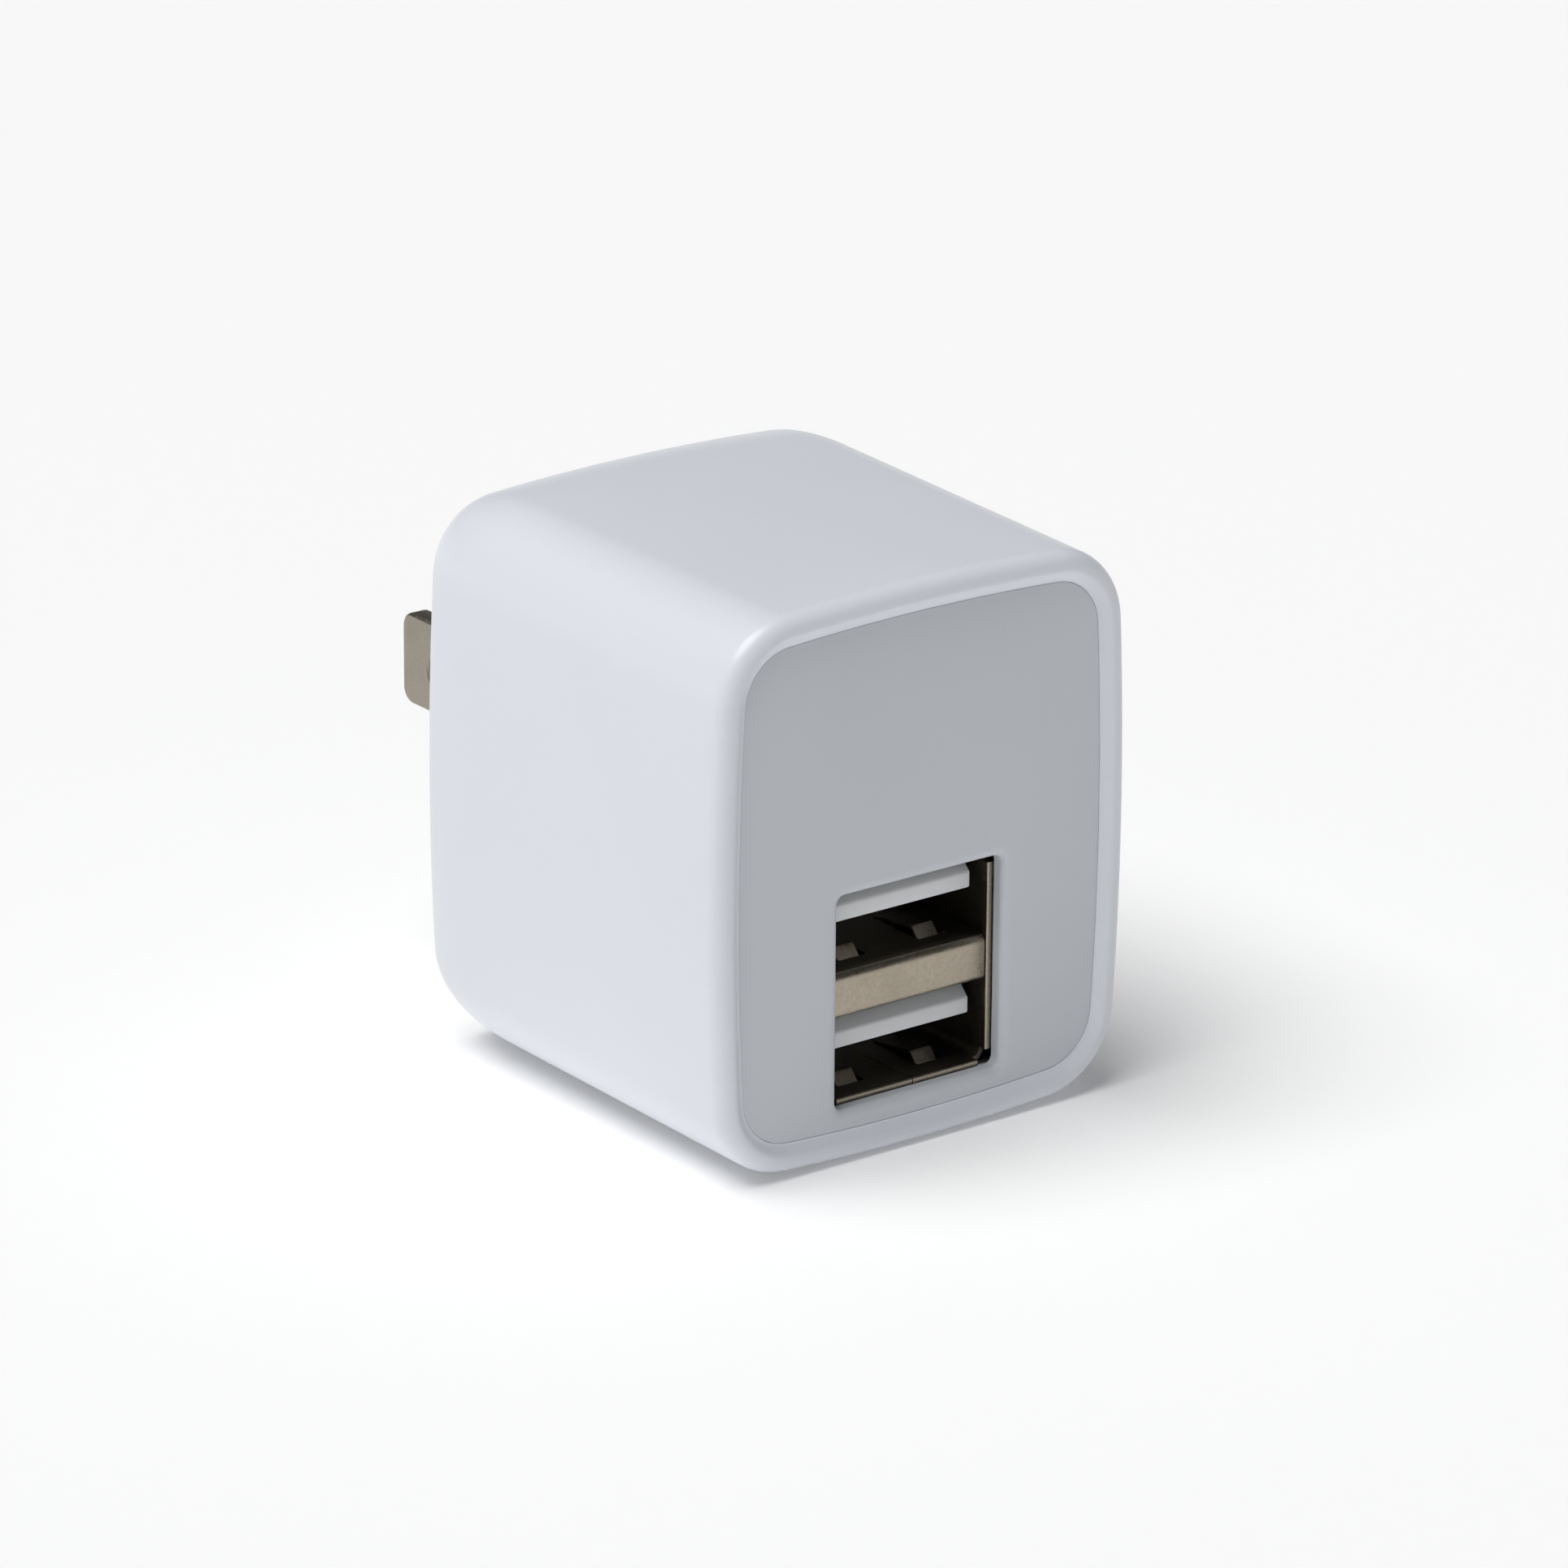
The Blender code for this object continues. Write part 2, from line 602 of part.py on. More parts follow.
def leg_box(side, y, room):
    """The box of one solder leg, or of its slot in the board when given room."""
    outer_x = side * (SHELL_WIDTH / 2 - LEG_INSET + room)
    inner_x = side * (SHELL_WIDTH / 2 - SHEET + LEG_INSET - room)
    low_y = SHELL_FRONT + y - room
    high_y = SHELL_FRONT + y + LEG_WIDTH + room
    low = (min(outer_x, inner_x), low_y, TAIL_END_Z)
    high = (max(outer_x, inner_x), high_y, SHELL_BOTTOM + LEG_OVERLAP)
    return low, high


def usb_divider():
    """Folded sheet between the ports: a front wall with a plate running back from its top and its bottom."""
    low = LOWER_PORT_TOP
    high = LOWER_PORT_TOP + DIVIDER_HEIGHT
    front = SHELL_FRONT + DIVIDER_SETBACK
    back = SHELL_FRONT + DIVIDER_LENGTH
    lower = (front + DIVIDER_BOTTOM_BEND, low + DIVIDER_BOTTOM_BEND)
    upper = (front + DIVIDER_TOP_BEND, high - DIVIDER_TOP_BEND)
    outline = [(back, low)]
    outline += arc(lower, DIVIDER_BOTTOM_BEND, -math.pi / 2, -math.pi, BEND_FACETS)
    outline += arc(upper, DIVIDER_TOP_BEND, math.pi, math.pi / 2, BEND_FACETS)
    outline += [
        (back, high),
        (back, high - SHEET),
        (front + SHEET, high - SHEET),
        (front + SHEET, low + SHEET),
        (back, low + SHEET),
    ]
    extrude_yz("usb_divider", outline, -DIVIDER_WIDTH / 2, DIVIDER_WIDTH / 2, "socket_steel")


def insulator(name, port_top, block_low, block_high):
    """A tongue with a bevelled top front edge on a rear block, grooved below for its four contacts."""
    top = port_top - TONGUE_TOP_SPACE
    low = top - TONGUE_THICKNESS
    tongue_front = SHELL_FRONT + TONGUE_SETBACK
    block_front = SHELL_FRONT + BLOCK_START
    tongue = [
        (block_front + CUTTER_MARGIN, low),
        (tongue_front, low),
        (tongue_front, top - TONGUE_BEVEL),
        (tongue_front + TONGUE_BEVEL, top),
        (block_front + CUTTER_MARGIN, top),
    ]
    made = extrude_yz(name, tongue, -TONGUE_WIDTH / 2, TONGUE_WIDTH / 2, "socket_plastic")
    block_low_corner = (-BLOCK_HALF_WIDTH, block_front, block_low)
    block_high_corner = (BLOCK_HALF_WIDTH, block_front + BLOCK_LENGTH, block_high)
    join(made, boxes(name + "_block", [(block_low_corner, block_high_corner)]))
    groove_half = CONTACT_WIDTH / 2 + BOARD_SLOT_ROOM
    groove_front = SHELL_FRONT + CONTACT_START - BOARD_SLOT_ROOM
    groove_back = block_front + BLOCK_LENGTH + CUTTER_MARGIN
    groove_top = low + CONTACT_THICKNESS + BOARD_SLOT_ROOM
    grooves = [
        ((x - groove_half, groove_front, low - BOARD_SLOT_ROOM), (x + groove_half, groove_back, groove_top))
        for x in CONTACT_X
    ]
    cut(made, boxes(name + "_grooves", grooves))


def contacts(prefix, port_top, tail_y):
    """Four strips along the underside of a tongue, each bent down at the back into its board slot."""
    low = port_top - TONGUE_TOP_SPACE - TONGUE_THICKNESS
    top = low + CONTACT_THICKNESS
    front = SHELL_FRONT + CONTACT_START
    tail = SHELL_FRONT + tail_y
    outline = [
        (front, low),
        (tail, low),
        (tail, TAIL_END_Z),
        (tail + CONTACT_THICKNESS, TAIL_END_Z),
        (tail + CONTACT_THICKNESS, top),
        (front, top),
    ]
    for number, x in enumerate(CONTACT_X, 1):
        name = f"{prefix}_contact_{number}"
        extrude_yz(name, outline, x - CONTACT_WIDTH / 2, x + CONTACT_WIDTH / 2, "contact_gold")


def tail_slots():
    """Boxes round the eight contact tails, for the slots in the USB board."""
    room = BOARD_SLOT_ROOM
    found = []
    for tail_y in (LOWER_TAIL, UPPER_TAIL):
        for x in CONTACT_X:
            y = SHELL_FRONT + tail_y
            low = (x - CONTACT_WIDTH / 2 - room, y - room, 0.0)
            high = (x + CONTACT_WIDTH / 2 + room, y + CONTACT_THICKNESS + room, SHELL_BOTTOM)
            found.append((low, high))
    return found


# ---------------------------------------------------------------- boards and their parts


def link_pin_boxes(room, low_z, high_z):
    """Boxes of the pins that join the two boards, with room round them when they cut a hole."""
    half = LINK_PIN_SIZE / 2 + room
    y = SHELL_FRONT + LINK_PIN_Y
    return [((x - half, y - half, low_z), (x + half, y + half, high_z)) for x in LINK_PIN_X]


def boards():
    usb_half = USB_BOARD_WIDTH / 2
    usb_back = SHELL_FRONT + USB_BOARD_BACK
    low = (-usb_half, BOARD_FRONT, USB_BOARD_BOTTOM)
    usb_board = boxes("usb_board", [(low, (usb_half, usb_back, USB_BOARD_TOP))], "board_green")
    slots = [leg_box(side, y, BOARD_SLOT_ROOM) for side in (-1, 1) for y in LEG_Y]
    slots += tail_slots()
    slots += link_pin_boxes(BOARD_SLOT_ROOM, 0.0, SHELL_BOTTOM)
    cut(usb_board, boxes("usb_board_slots", slots))

    main_half = MAIN_BOARD_WIDTH / 2
    main_back = COVER_INNER - COVER_SKIRT_LENGTH - GAP
    low = (-main_half, BOARD_FRONT, MAIN_BOARD_BOTTOM)
    high = (main_half, main_back, MAIN_BOARD_TOP)
    main_board = boxes("main_board", [(low, high)], "board_green")
    slot_ends = (MAIN_BOARD_BOTTOM - CUTTER_MARGIN, MAIN_BOARD_TOP + CUTTER_MARGIN)
    slots = link_pin_boxes(BOARD_SLOT_ROOM, *slot_ends)
    cut(main_board, boxes("main_board_slots", slots))

    film_low_z = (SHELL_TOP + MAIN_BOARD_BOTTOM - INSULATION_THICKNESS) / 2
    film_low = (-INSULATION_WIDTH / 2, BOARD_FRONT, film_low_z)
    film_back = SHELL_FRONT + INSULATION_BACK
    film_high = (INSULATION_WIDTH / 2, film_back, film_low_z + INSULATION_THICKNESS)
    boxes("insulation_sheet", [(film_low, film_high)], "film")

    pins = link_pin_boxes(0.0, TAIL_END_Z, MAIN_BOARD_TOP + LINK_PIN_ABOVE_BOARD)
    for number, pin in enumerate(pins, 1):
        boxes(f"link_pin_{number}", [pin], "contact_gold")


def electrolytic(name, y, height):
    """An upright can capacitor with a rolled groove near its base."""
    groove = 0.25 * MM
    edge = 0.3 * MM
    groove_low = 1.0 * MM
    groove_high = 1.6 * MM
    profile = [
        (CAPACITOR_RADIUS - edge, 0.0),
        (CAPACITOR_RADIUS, edge),
        (CAPACITOR_RADIUS, groove_low),
        (CAPACITOR_RADIUS - groove, (groove_low + groove_high) / 2),
        (CAPACITOR_RADIUS, groove_high),
        (CAPACITOR_RADIUS, height - edge),
        (CAPACITOR_RADIUS - edge, height),
    ]
    turned(name, profile, "capacitor_sleeve", (CAPACITOR_X, y, MAIN_BOARD_TOP + GAP))


def chip(name, centre, size, board_top):
    """A bevelled black package standing on a board."""
    low = (centre[0] - size[0] / 2, centre[1] - size[1] / 2, board_top + GAP)
    high = (centre[0] + size[0] / 2, centre[1] + size[1] / 2, board_top + GAP + size[2])
    bevelled_box(name, low, high, "chip_black", CHIP_EDGE)


def main_board_parts():
    for number, y in enumerate(INPUT_CAPACITOR_Y, 1):
        electrolytic(f"input_capacitor_{number}", y, INPUT_CAPACITOR_HEIGHT)
    electrolytic("output_capacitor", OUTPUT_CAPACITOR_Y, OUTPUT_CAPACITOR_HEIGHT)
    chip("bridge_rectifier", BRIDGE_CENTRE, BRIDGE_SIZE, MAIN_BOARD_TOP)
    chip("controller_chip", CONTROLLER_CENTRE, CONTROLLER_SIZE, MAIN_BOARD_TOP)
    chip("optocoupler", OPTOCOUPLER_CENTRE, OPTOCOUPLER_SIZE, MAIN_BOARD_TOP)
    chip("output_diode", DIODE_CENTRE, DIODE_SIZE, MAIN_BOARD_TOP)
    choke_inductor()
    fuse_resistor()
    y_capacitor()


def choke_inductor():
    """A drum choke: two flanges with the winding between them."""
    flange = 3.0 * MM
    winding = 2.3 * MM
    profile = [
        (flange, 0.0),
        (flange, 1.0 * MM),
        (winding, 1.2 * MM),
        (winding, 5.8 * MM),
        (flange, 6.0 * MM),
        (flange, 7.0 * MM),
    ]
    turned("choke_inductor", profile, "ferrite", (*CHOKE_CENTRE, MAIN_BOARD_TOP + GAP))


def fuse_resistor():
    """A fusible resistor lying along Y, its ends a little thicker than its middle."""
    end = 1.5 * MM
    middle = 1.25 * MM
    half = 3.4 * MM
    edge = 0.3 * MM
    end_length = 1.2 * MM
    slope_end = 1.7 * MM
    profile = [
        (end - edge, -half),
        (end, -half + edge),
        (end, -half + end_length),
        (middle, -half + slope_end),
        (middle, half - slope_end),
        (end, half - end_length),
        (end, half - edge),
        (end - edge, half),
    ]
    location = (*FUSE_CENTRE, MAIN_BOARD_TOP + FUSE_AXIS_HEIGHT)
    resistor = turned("fuse_resistor", profile, "resistor_green", location)
    resistor.rotation_euler = (math.pi / 2, 0.0, 0.0)


def y_capacitor():
    """A safety capacitor: a coated disc standing on its edge."""
    radius = 3.5 * MM
    half = 1.1 * MM
    edge_width = 0.7 * MM
    edge_depth = 0.6 * MM
    profile = [
        (radius - edge_width, -half),
        (radius, -half + edge_depth),
        (radius, half - edge_depth),
        (radius - edge_width, half),
    ]
    location = (*Y_CAPACITOR_CENTRE, MAIN_BOARD_TOP + Y_CAPACITOR_CLEARANCE + radius)
    capacitor = turned("y_capacitor", profile, "capacitor_blue", location)
    capacitor.rotation_euler = (math.pi / 2, 0.0, 0.0)


def transformer():
    """A bobbin with its winding, and two E-shaped core halves that meet inside it."""
    centre = Vector((*TRANSFORMER_CENTRE, MAIN_BOARD_TOP + GAP + TRANSFORMER_HALF_HEIGHT))
    leg = 1.7 * MM
    leg_room = 0.25 * MM
    tube = leg + 0.75 * MM
    winding = 4.0 * MM
    winding_room = 0.15 * MM
    flange = 4.2 * MM
    flange_thickness = 0.7 * MM
    half_height = 3.6 * MM

    winding_end = half_height - flange_thickness - winding_room
    ring = [(winding, -winding_end), (winding, winding_end)]
    coil = turned("transformer_winding", ring, "tape_yellow", centre)
    inner_radius = tube + winding_room
    bore = [(inner_radius, -half_height), (inner_radius, half_height)]
    cut(coil, turned("winding_bore", bore, None, centre))

    spool = [
        (flange, -half_height),
        (flange, -half_height + flange_thickness),
        (tube, -half_height + flange_thickness),
        (tube, half_height - flange_thickness),
        (flange, half_height - flange_thickness),
        (flange, half_height),
    ]
    bobbin = turned("transformer_bobbin", spool, "bobbin_plastic", centre)
    hole = [(leg + leg_room, -2 * half_height), (leg + leg_room, 2 * half_height)]
    cut(bobbin, turned("bobbin_bore", hole, None, centre))

    core_half(centre, leg, half_height, "transformer_core_upper", 1)
    core_half(centre, leg, half_height, "transformer_core_lower", -1)


def core_half(centre, leg, half_height, name, side):
    """One half of the core: a back plate, two outer legs and a round middle leg."""
    back = half_height + 0.2 * MM
    top = back + 1.9 * MM
    leg_top = back + 0.5 * MM
    outer = 6.0 * MM
    leg_inner = 4.4 * MM
    depth = 3.6 * MM
    split = 0.1 * MM
    plate = [(-outer, -depth, back), (outer, depth, top)]
    left = [(-outer, -depth, split), (-leg_inner, depth, leg_top)]
    right = [(leg_inner, -depth, split), (outer, depth, leg_top)]
    bm = bmesh.new()
    add_box(bm, *plate)
    half = add_object(name, bm, "ferrite", centre)
    bm = bmesh.new()
    add_box(bm, *left)
    add_box(bm, *right)
    turns = [2 * math.pi * k / ROUND_SIDES for k in range(ROUND_SIDES)]
    circle = [(leg * math.cos(a), leg * math.sin(a)) for a in turns]
    loft(bm, [[(x, y, z) for x, y in circle] for z in (split, leg_top)])
    legs = add_object(name + "_legs", bm, None, centre)
    join(half, legs)
    if side < 0:
        half.rotation_euler = (math.pi, 0.0, 0.0)
        legs.rotation_euler = (math.pi, 0.0, 0.0)


def port_chip():
    """The small regulator chip behind the socket."""
    centre = (PORT_CHIP_X, SHELL_FRONT + PORT_CHIP_BEHIND_SHELL_FRONT)
    chip("port_chip", centre, PORT_CHIP_SIZE, USB_BOARD_TOP)


def build():
    clear_scene()
    housing_sleeve()
    front_panel()
    rear_cover()
    blade_retainer()
    blade("blade_left", -BLADE_SPACING / 2)
    blade("blade_right", BLADE_SPACING / 2)
    lead("neutral_lead", -BLADE_SPACING / 2, "lead_black")
    lead("live_lead", BLADE_SPACING / 2, "lead_red")
    usb_shell()
    usb_divider()
    block_split = LOWER_PORT_TOP + DIVIDER_HEIGHT / 2
    block_low = SHELL_BOTTOM + SHEET + BLOCK_ROOM
    block_high = SHELL_TOP - SHEET - BLOCK_ROOM
    insulator("lower_insulator", LOWER_PORT_TOP, block_low, block_split - BLOCK_SPLIT_ROOM)
    insulator("upper_insulator", UPPER_PORT_TOP, block_split + BLOCK_SPLIT_ROOM, block_high)
    contacts("lower", LOWER_PORT_TOP, LOWER_TAIL)
    contacts("upper", UPPER_PORT_TOP, UPPER_TAIL)
    boards()
    main_board_parts()
    transformer()
    port_chip()


build()
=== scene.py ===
"""Looks of a two-port USB wall charger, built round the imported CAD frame. Metres, +Z up.

The ports face -Y and the blades point along +Y, as in the CAD.
"""

import math

import bmesh
import bpy
from mathutils import Matrix, Vector


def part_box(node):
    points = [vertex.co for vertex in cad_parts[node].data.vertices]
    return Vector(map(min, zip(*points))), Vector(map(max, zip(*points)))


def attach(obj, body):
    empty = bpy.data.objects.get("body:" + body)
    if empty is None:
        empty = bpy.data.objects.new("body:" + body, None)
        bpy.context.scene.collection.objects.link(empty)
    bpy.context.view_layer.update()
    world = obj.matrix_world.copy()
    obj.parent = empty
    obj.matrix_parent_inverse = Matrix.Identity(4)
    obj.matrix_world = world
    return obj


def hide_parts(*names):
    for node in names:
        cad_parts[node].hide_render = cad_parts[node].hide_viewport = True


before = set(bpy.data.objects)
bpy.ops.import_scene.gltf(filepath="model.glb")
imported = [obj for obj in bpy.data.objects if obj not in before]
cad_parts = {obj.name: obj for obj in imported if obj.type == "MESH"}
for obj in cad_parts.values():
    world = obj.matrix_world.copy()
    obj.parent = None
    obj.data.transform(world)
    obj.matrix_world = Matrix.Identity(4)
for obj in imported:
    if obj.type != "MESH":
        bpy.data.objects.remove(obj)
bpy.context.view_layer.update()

MM = 0.001

# Casing outline, as in the CAD
FRONT_WIDTH = 33.0 * MM
BACK_WIDTH = 33.8 * MM
FRONT_HEIGHT = 38.0 * MM
BACK_HEIGHT = 38.6 * MM
BODY_DEPTH = 32.4 * MM
TOP_BULGE_RADIUS = 176.0 * MM
SIDE_BULGE_RADIUS = 226.0 * MM
CORNER_RADIUS_TOP = 5.7 * MM
FRONT_CORNER_RADIUS_BOTTOM = 5.8 * MM
BACK_CORNER_RADIUS_BOTTOM = 7.2 * MM
SKIN = 0.012 * MM  # keeps the finely rounded casing inside the faceted CAD box
WALL = 1.8 * MM
BEAD_WIDTH = 2.05 * MM
BEAD_OUTER_RADIUS = 1.15 * MM
LEDGE_INSET = 3.0 * MM
LEDGE_DEPTH = 1.2 * MM
BACK_EDGE_INSET = 1.5 * MM
BACK_EDGE_DEPTH = 6.0 * MM
BACK_RIM_INSET = 2.8 * MM
BACK_RIM_DEPTH = 7.0 * MM
BACK_RIM_CHAMFER = 0.25 * MM

# Front panel and its window
PANEL_RECESS = 0.5 * MM
PANEL_THICKNESS = 1.05 * MM
PANEL_GAP = 0.02 * MM
PANEL_ROUNDING = 0.04 * MM
WINDOW_X = 0.11 * MM
WINDOW_WIDTH = 13.22 * MM
WINDOW_BOTTOM = 3.45 * MM
WINDOW_TOP = 18.0 * MM
WINDOW_CORNER_RADIUS = 0.6 * MM
WINDOW_ROUNDING_WIDTH = 0.8 * MM
WINDOW_ROUNDING_DEPTH = 0.5 * MM

# Rear cover
COVER_THICKNESS = 2.0 * MM
COVER_SKIRT_LENGTH = 4.0 * MM
COVER_SKIRT_THICKNESS = 1.2 * MM
COVER_EDGE_INSET = 3.1 * MM
COVER_RECESS = 0.2 * MM
COVER_ROUNDING = 0.4 * MM
SLOT_ROOM = 0.15 * MM
SLOT_FLARE = 0.35 * MM
SLOT_CORNER_RADIUS = 0.1 * MM

# Blades
BLADE_LENGTH = 15.3 * MM
BLADE_START = 0.1 * MM  # the full section starts this far in front of the casing's back plane
BLADE_TIP_RADIUS = 1.05 * MM
BLADE_HOLE_RADIUS = 1.6 * MM
BLADE_HOLE_FROM_TIP = 4.5 * MM
BLADE_HOLE_FLARE = 0.15 * MM
BLADE_TAIL_WIDTH = 2.8 * MM
BLADE_TAIL_LENGTH = 5.3 * MM
BLADE_SHOULDER = 5.0 * MM
BLADE_ROUNDING = 0.22 * MM
BLADE_ROOT_THICKNESS = 1.3 * MM
BLADE_ROOT_INSET = 0.27 * MM
BLADE_ROOT_OVERLAP = 0.53 * MM

# Stacked USB-A socket
SHEET = 0.35 * MM
SHELL_LENGTH = 13.0 * MM
SHELL_BOTTOM = 3.45 * MM
SHELL_CORNER_RADIUS = 0.9 * MM
SHEET_ROUNDING = 0.09 * MM
DIVIDER_TOP_BEND = 0.75 * MM
DIVIDER_BOTTOM_BEND = 0.4 * MM
DIVIDER_ROUNDING = 0.12 * MM
DIVIDER_SHADE_START = 0.3 * MM
LIP_FLARE = 0.18 * MM
LIP_LENGTH = 0.5 * MM
LIP_NOTCH_WIDTH = 0.95 * MM
LIP_NOTCH_DEPTH = 0.6 * MM
LEAD_IN_NORMAL = -0.3  # a finger's lead-in slope faces further forwards than this
SHADE_DEPTH = 0.2 * MM  # behind this, the socket's walls get a darker colour that is painted shade
LEG_WIDTH = 1.2 * MM
LEG_INSET = 0.02 * MM  # from each face of the shell's wall
LEG_REACH = 2.0 * MM  # up into the wall
LEG_Y = (5.0 * MM, 11.0 * MM)
SEAM_X = 0.4 * MM
SEAM_WIDTH = 0.06 * MM
SEAM_LENGTH = 14.0 * MM
SHEET_CUT_ROOM = 0.1 * MM  # how far a cutter passes the faces of the sheet
FINGER_X = (-3.2 * MM, 3.2 * MM)
FINGER_WIDTH = 1.65 * MM
FINGER_THICKNESS = 0.2 * MM
FINGER_TIP_RADIUS = 0.15 * MM
FINGER_SLOT_ROOM = 0.25 * MM
FINGER_PATH = (  # (depth behind the shell's front, height above the floor)
    (1.95 * MM, -0.42 * MM),
    (2.10 * MM, -0.30 * MM),
    (2.70 * MM, 0.38 * MM),
    (2.90 * MM, 0.49 * MM),
    (3.15 * MM, 0.52 * MM),
    (4.80 * MM, 0.30 * MM),
    (6.60 * MM, 0.00 * MM),
    (7.60 * MM, -0.06 * MM),
)
TONGUE_BEVEL = 0.75 * MM
TONGUE_THICKNESS = 1.84 * MM
TONGUE_ROUNDING = 0.14 * MM
TONGUE_WIDTH = 11.1 * MM
TONGUE_OVERLAP = 1.0 * MM  # into its block
BLOCK_START = 9.3 * MM
BLOCK_LENGTH = 3.5 * MM
CONTACT_X = (-3.5 * MM, -1.0 * MM, 1.0 * MM, 3.5 * MM)
CONTACT_WIDTH = 0.9 * MM
CONTACT_THICKNESS = 0.25 * MM
CONTACT_START = 1.5 * MM
GROOVE_ROOM = 0.15 * MM
GROOVE_CUT_ROOM = 0.2 * MM  # how far its cutter reaches below the tongue

# Steps of the round shapes
SIDE_STEPS = 12
CORNER_STEPS = 18
BACK_EDGE_STEPS = 16
SLEEVE_RINGS = 8
BEAD_STEPS = 12
PANEL_ROUNDING_STEPS = 4
WINDOW_STEPS = 8
WINDOW_ROUNDING_STEPS = 12
SLOT_STEPS = 4
COVER_ROUNDING_STEPS = 6
BLADE_TIP_STEPS = 10
HOLE_STEPS = 40
LIP_STEPS = 3
DIVIDER_TOP_STEPS = 10
DIVIDER_BOTTOM_STEPS = 8
DIVIDER_INNER_STEPS = 4
FINGER_TIP_STEPS = 4
ROUNDING_STEPS = 3
SHARP_ANGLE = math.radians(32)
CUT_MARGIN = 1.0 * MM
SAME_PLACE = 1e-6

# Planes taken from the CAD
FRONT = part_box("housing_sleeve")[0].y
BACK = FRONT + BODY_DEPTH
COVER_INNER = BACK - COVER_THICKNESS
SHELL_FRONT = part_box("usb_shell")[0].y
PANEL_BACK = PANEL_RECESS + PANEL_THICKNESS

# Surroundings: heights are the sines of angles above the horizon
BACKDROP_TOP = 0.07
SKY_START = 0.15
BACKDROP_GLOW = 0.85
SKY_GLOW = 0.05
SKY_COLOUR = (0.95, 0.97, 1.0, 1.0)
FLOOR_HALF = 3.0
FLOOR_CELLS = 8
FLOOR_COLOUR = (0.96, 0.96, 0.96)
FLOOR_GLOW = 0.12

# Lights: each direction points from the charger to the light
KEY_DIRECTION = (-0.36, 0.05, 0.95)
KEY_STRENGTH = 2.7
KEY_SPREAD = math.radians(45)
FILL_DIRECTION = (-1.0, -0.2, 0.35)
FILL_DISTANCE = 0.6
FILL_SIZE = 0.35
FILL_POWER = 0.06

# Camera: the direction to it, its lens and its place in the plane of the picture
CAMERA_TARGET = Vector((0.0, FRONT + 16.2 * MM, 19.0 * MM))
CAMERA_AZIMUTH = math.radians(-37.2964)
CAMERA_ELEVATION = math.radians(20.1563)
CAMERA_ROLL = math.radians(0.44)
CAMERA_RIGHT = 0.7756 * MM
CAMERA_UP = 0.5933 * MM
CAMERA_DISTANCE = 573.57 * MM
CAMERA_LENS = 203.9  # millimetres, as is the sensor's width
CAMERA_SENSOR = 36.0
CAMERA_NEAR = 0.02


# ---------------------------------------------------------------- mesh helpers


def blend(first, second, share):
    """The value this share of the way from the first to the second."""
    return first + (second - first) * share


def polar(centre, radius, angle):
    return centre[0] + radius * math.cos(angle), centre[1] + radius * math.sin(angle)


def arc(centre, radius, start, end, steps):
    """Points on an arc in a plane, both ends included; angles in radians."""
    return [polar(centre, radius, blend(start, end, k / steps)) for k in range(steps + 1)]


def rounded_rectangle(half_width, low, high, radius, steps=WINDOW_STEPS):
    """(x, z) outline of a rectangle with round corners, anticlockwise from the lower right."""
    points = []
    corners = (
        (half_width - radius, low + radius, -math.pi / 2),
        (half_width - radius, high - radius, 0.0),
        (-half_width + radius, high - radius, math.pi / 2),
        (-half_width + radius, low + radius, math.pi),
    )
    for x, z, start in corners:
        points += arc((x, z), radius, start, start + math.pi / 2, steps)
    return points


def skin(bm, rings, closed=False):
    """Joins a list of point rings with faces, and returns the vertices of each ring."""
    loops = [[bm.verts.new(point) for point in ring] for ring in rings]
    pairs = list(zip(loops, loops[1:]))
    if closed:
        pairs.append((loops[-1], loops[0]))
    for first, second in pairs:
        count = len(first)
        for i in range(count):
            j = (i + 1) % count
            bm.faces.new((first[i], first[j], second[j], second[i]))
    return loops


def loft(bm, rings):
    """A solid through the rings, with a flat cap at each end."""
    loops = skin(bm, rings)
    bm.faces.new(loops[0])
    bm.faces.new(loops[-1])


def fill_between(bm, first, second):
    """Fills the flat area between two loops of vertices, one inside the other."""
    edges = []
    for loop in (first, second):
        for i, vert in enumerate(loop):
            after = loop[(i + 1) % len(loop)]
            edges.append(bm.edges.get((vert, after)))
    bmesh.ops.triangle_fill(bm, use_beauty=True, use_dissolve=False, edges=edges)


def extrude_yz(bm, outline, x_low, x_high):
    """A plate whose (y, z) outline is extruded along X."""
    loft(bm, [[(x, y, z) for y, z in outline] for x in (x_low, x_high)])


def add_box(bm, low, high):
    """Adds a box between two opposite corners."""
    low = Vector(low)
    high = Vector(high)
    matrix = Matrix.Translation((low + high) / 2) @ Matrix.Diagonal((*(high - low), 1.0))
    bmesh.ops.create_cube(bm, size=1.0, matrix=matrix)


def smooth(mesh):
    """Smooth shading, with the sharp edges kept."""
    mesh.shade_smooth()
    mesh.set_sharp_from_angle(angle=SHARP_ANGLE)


def made(name, bm, finish=None):
    """Turns the bmesh into a named object with smooth faces and sharp edges kept."""
    bmesh.ops.recalc_face_normals(bm, faces=bm.faces)
    mesh = bpy.data.meshes.new(name)
    bm.to_mesh(mesh)
    bm.free()
    smooth(mesh)
    if finish:
        mesh.materials.append(finish)
    obj = bpy.data.objects.new(name, mesh)
    bpy.context.scene.collection.objects.link(obj)
    return obj


def boxes(corners):
    """An object holding a box for each (low, high) pair."""
    bm = bmesh.new()
    for low, high in corners:
        add_box(bm, low, high)
    return made("guide", bm)


def apply_modifiers(obj):
    graph = bpy.context.evaluated_depsgraph_get()
    mesh = bpy.data.meshes.new_from_object(obj.evaluated_get(graph))
    obj.modifiers.clear()
    obj.data = mesh
    smooth(mesh)


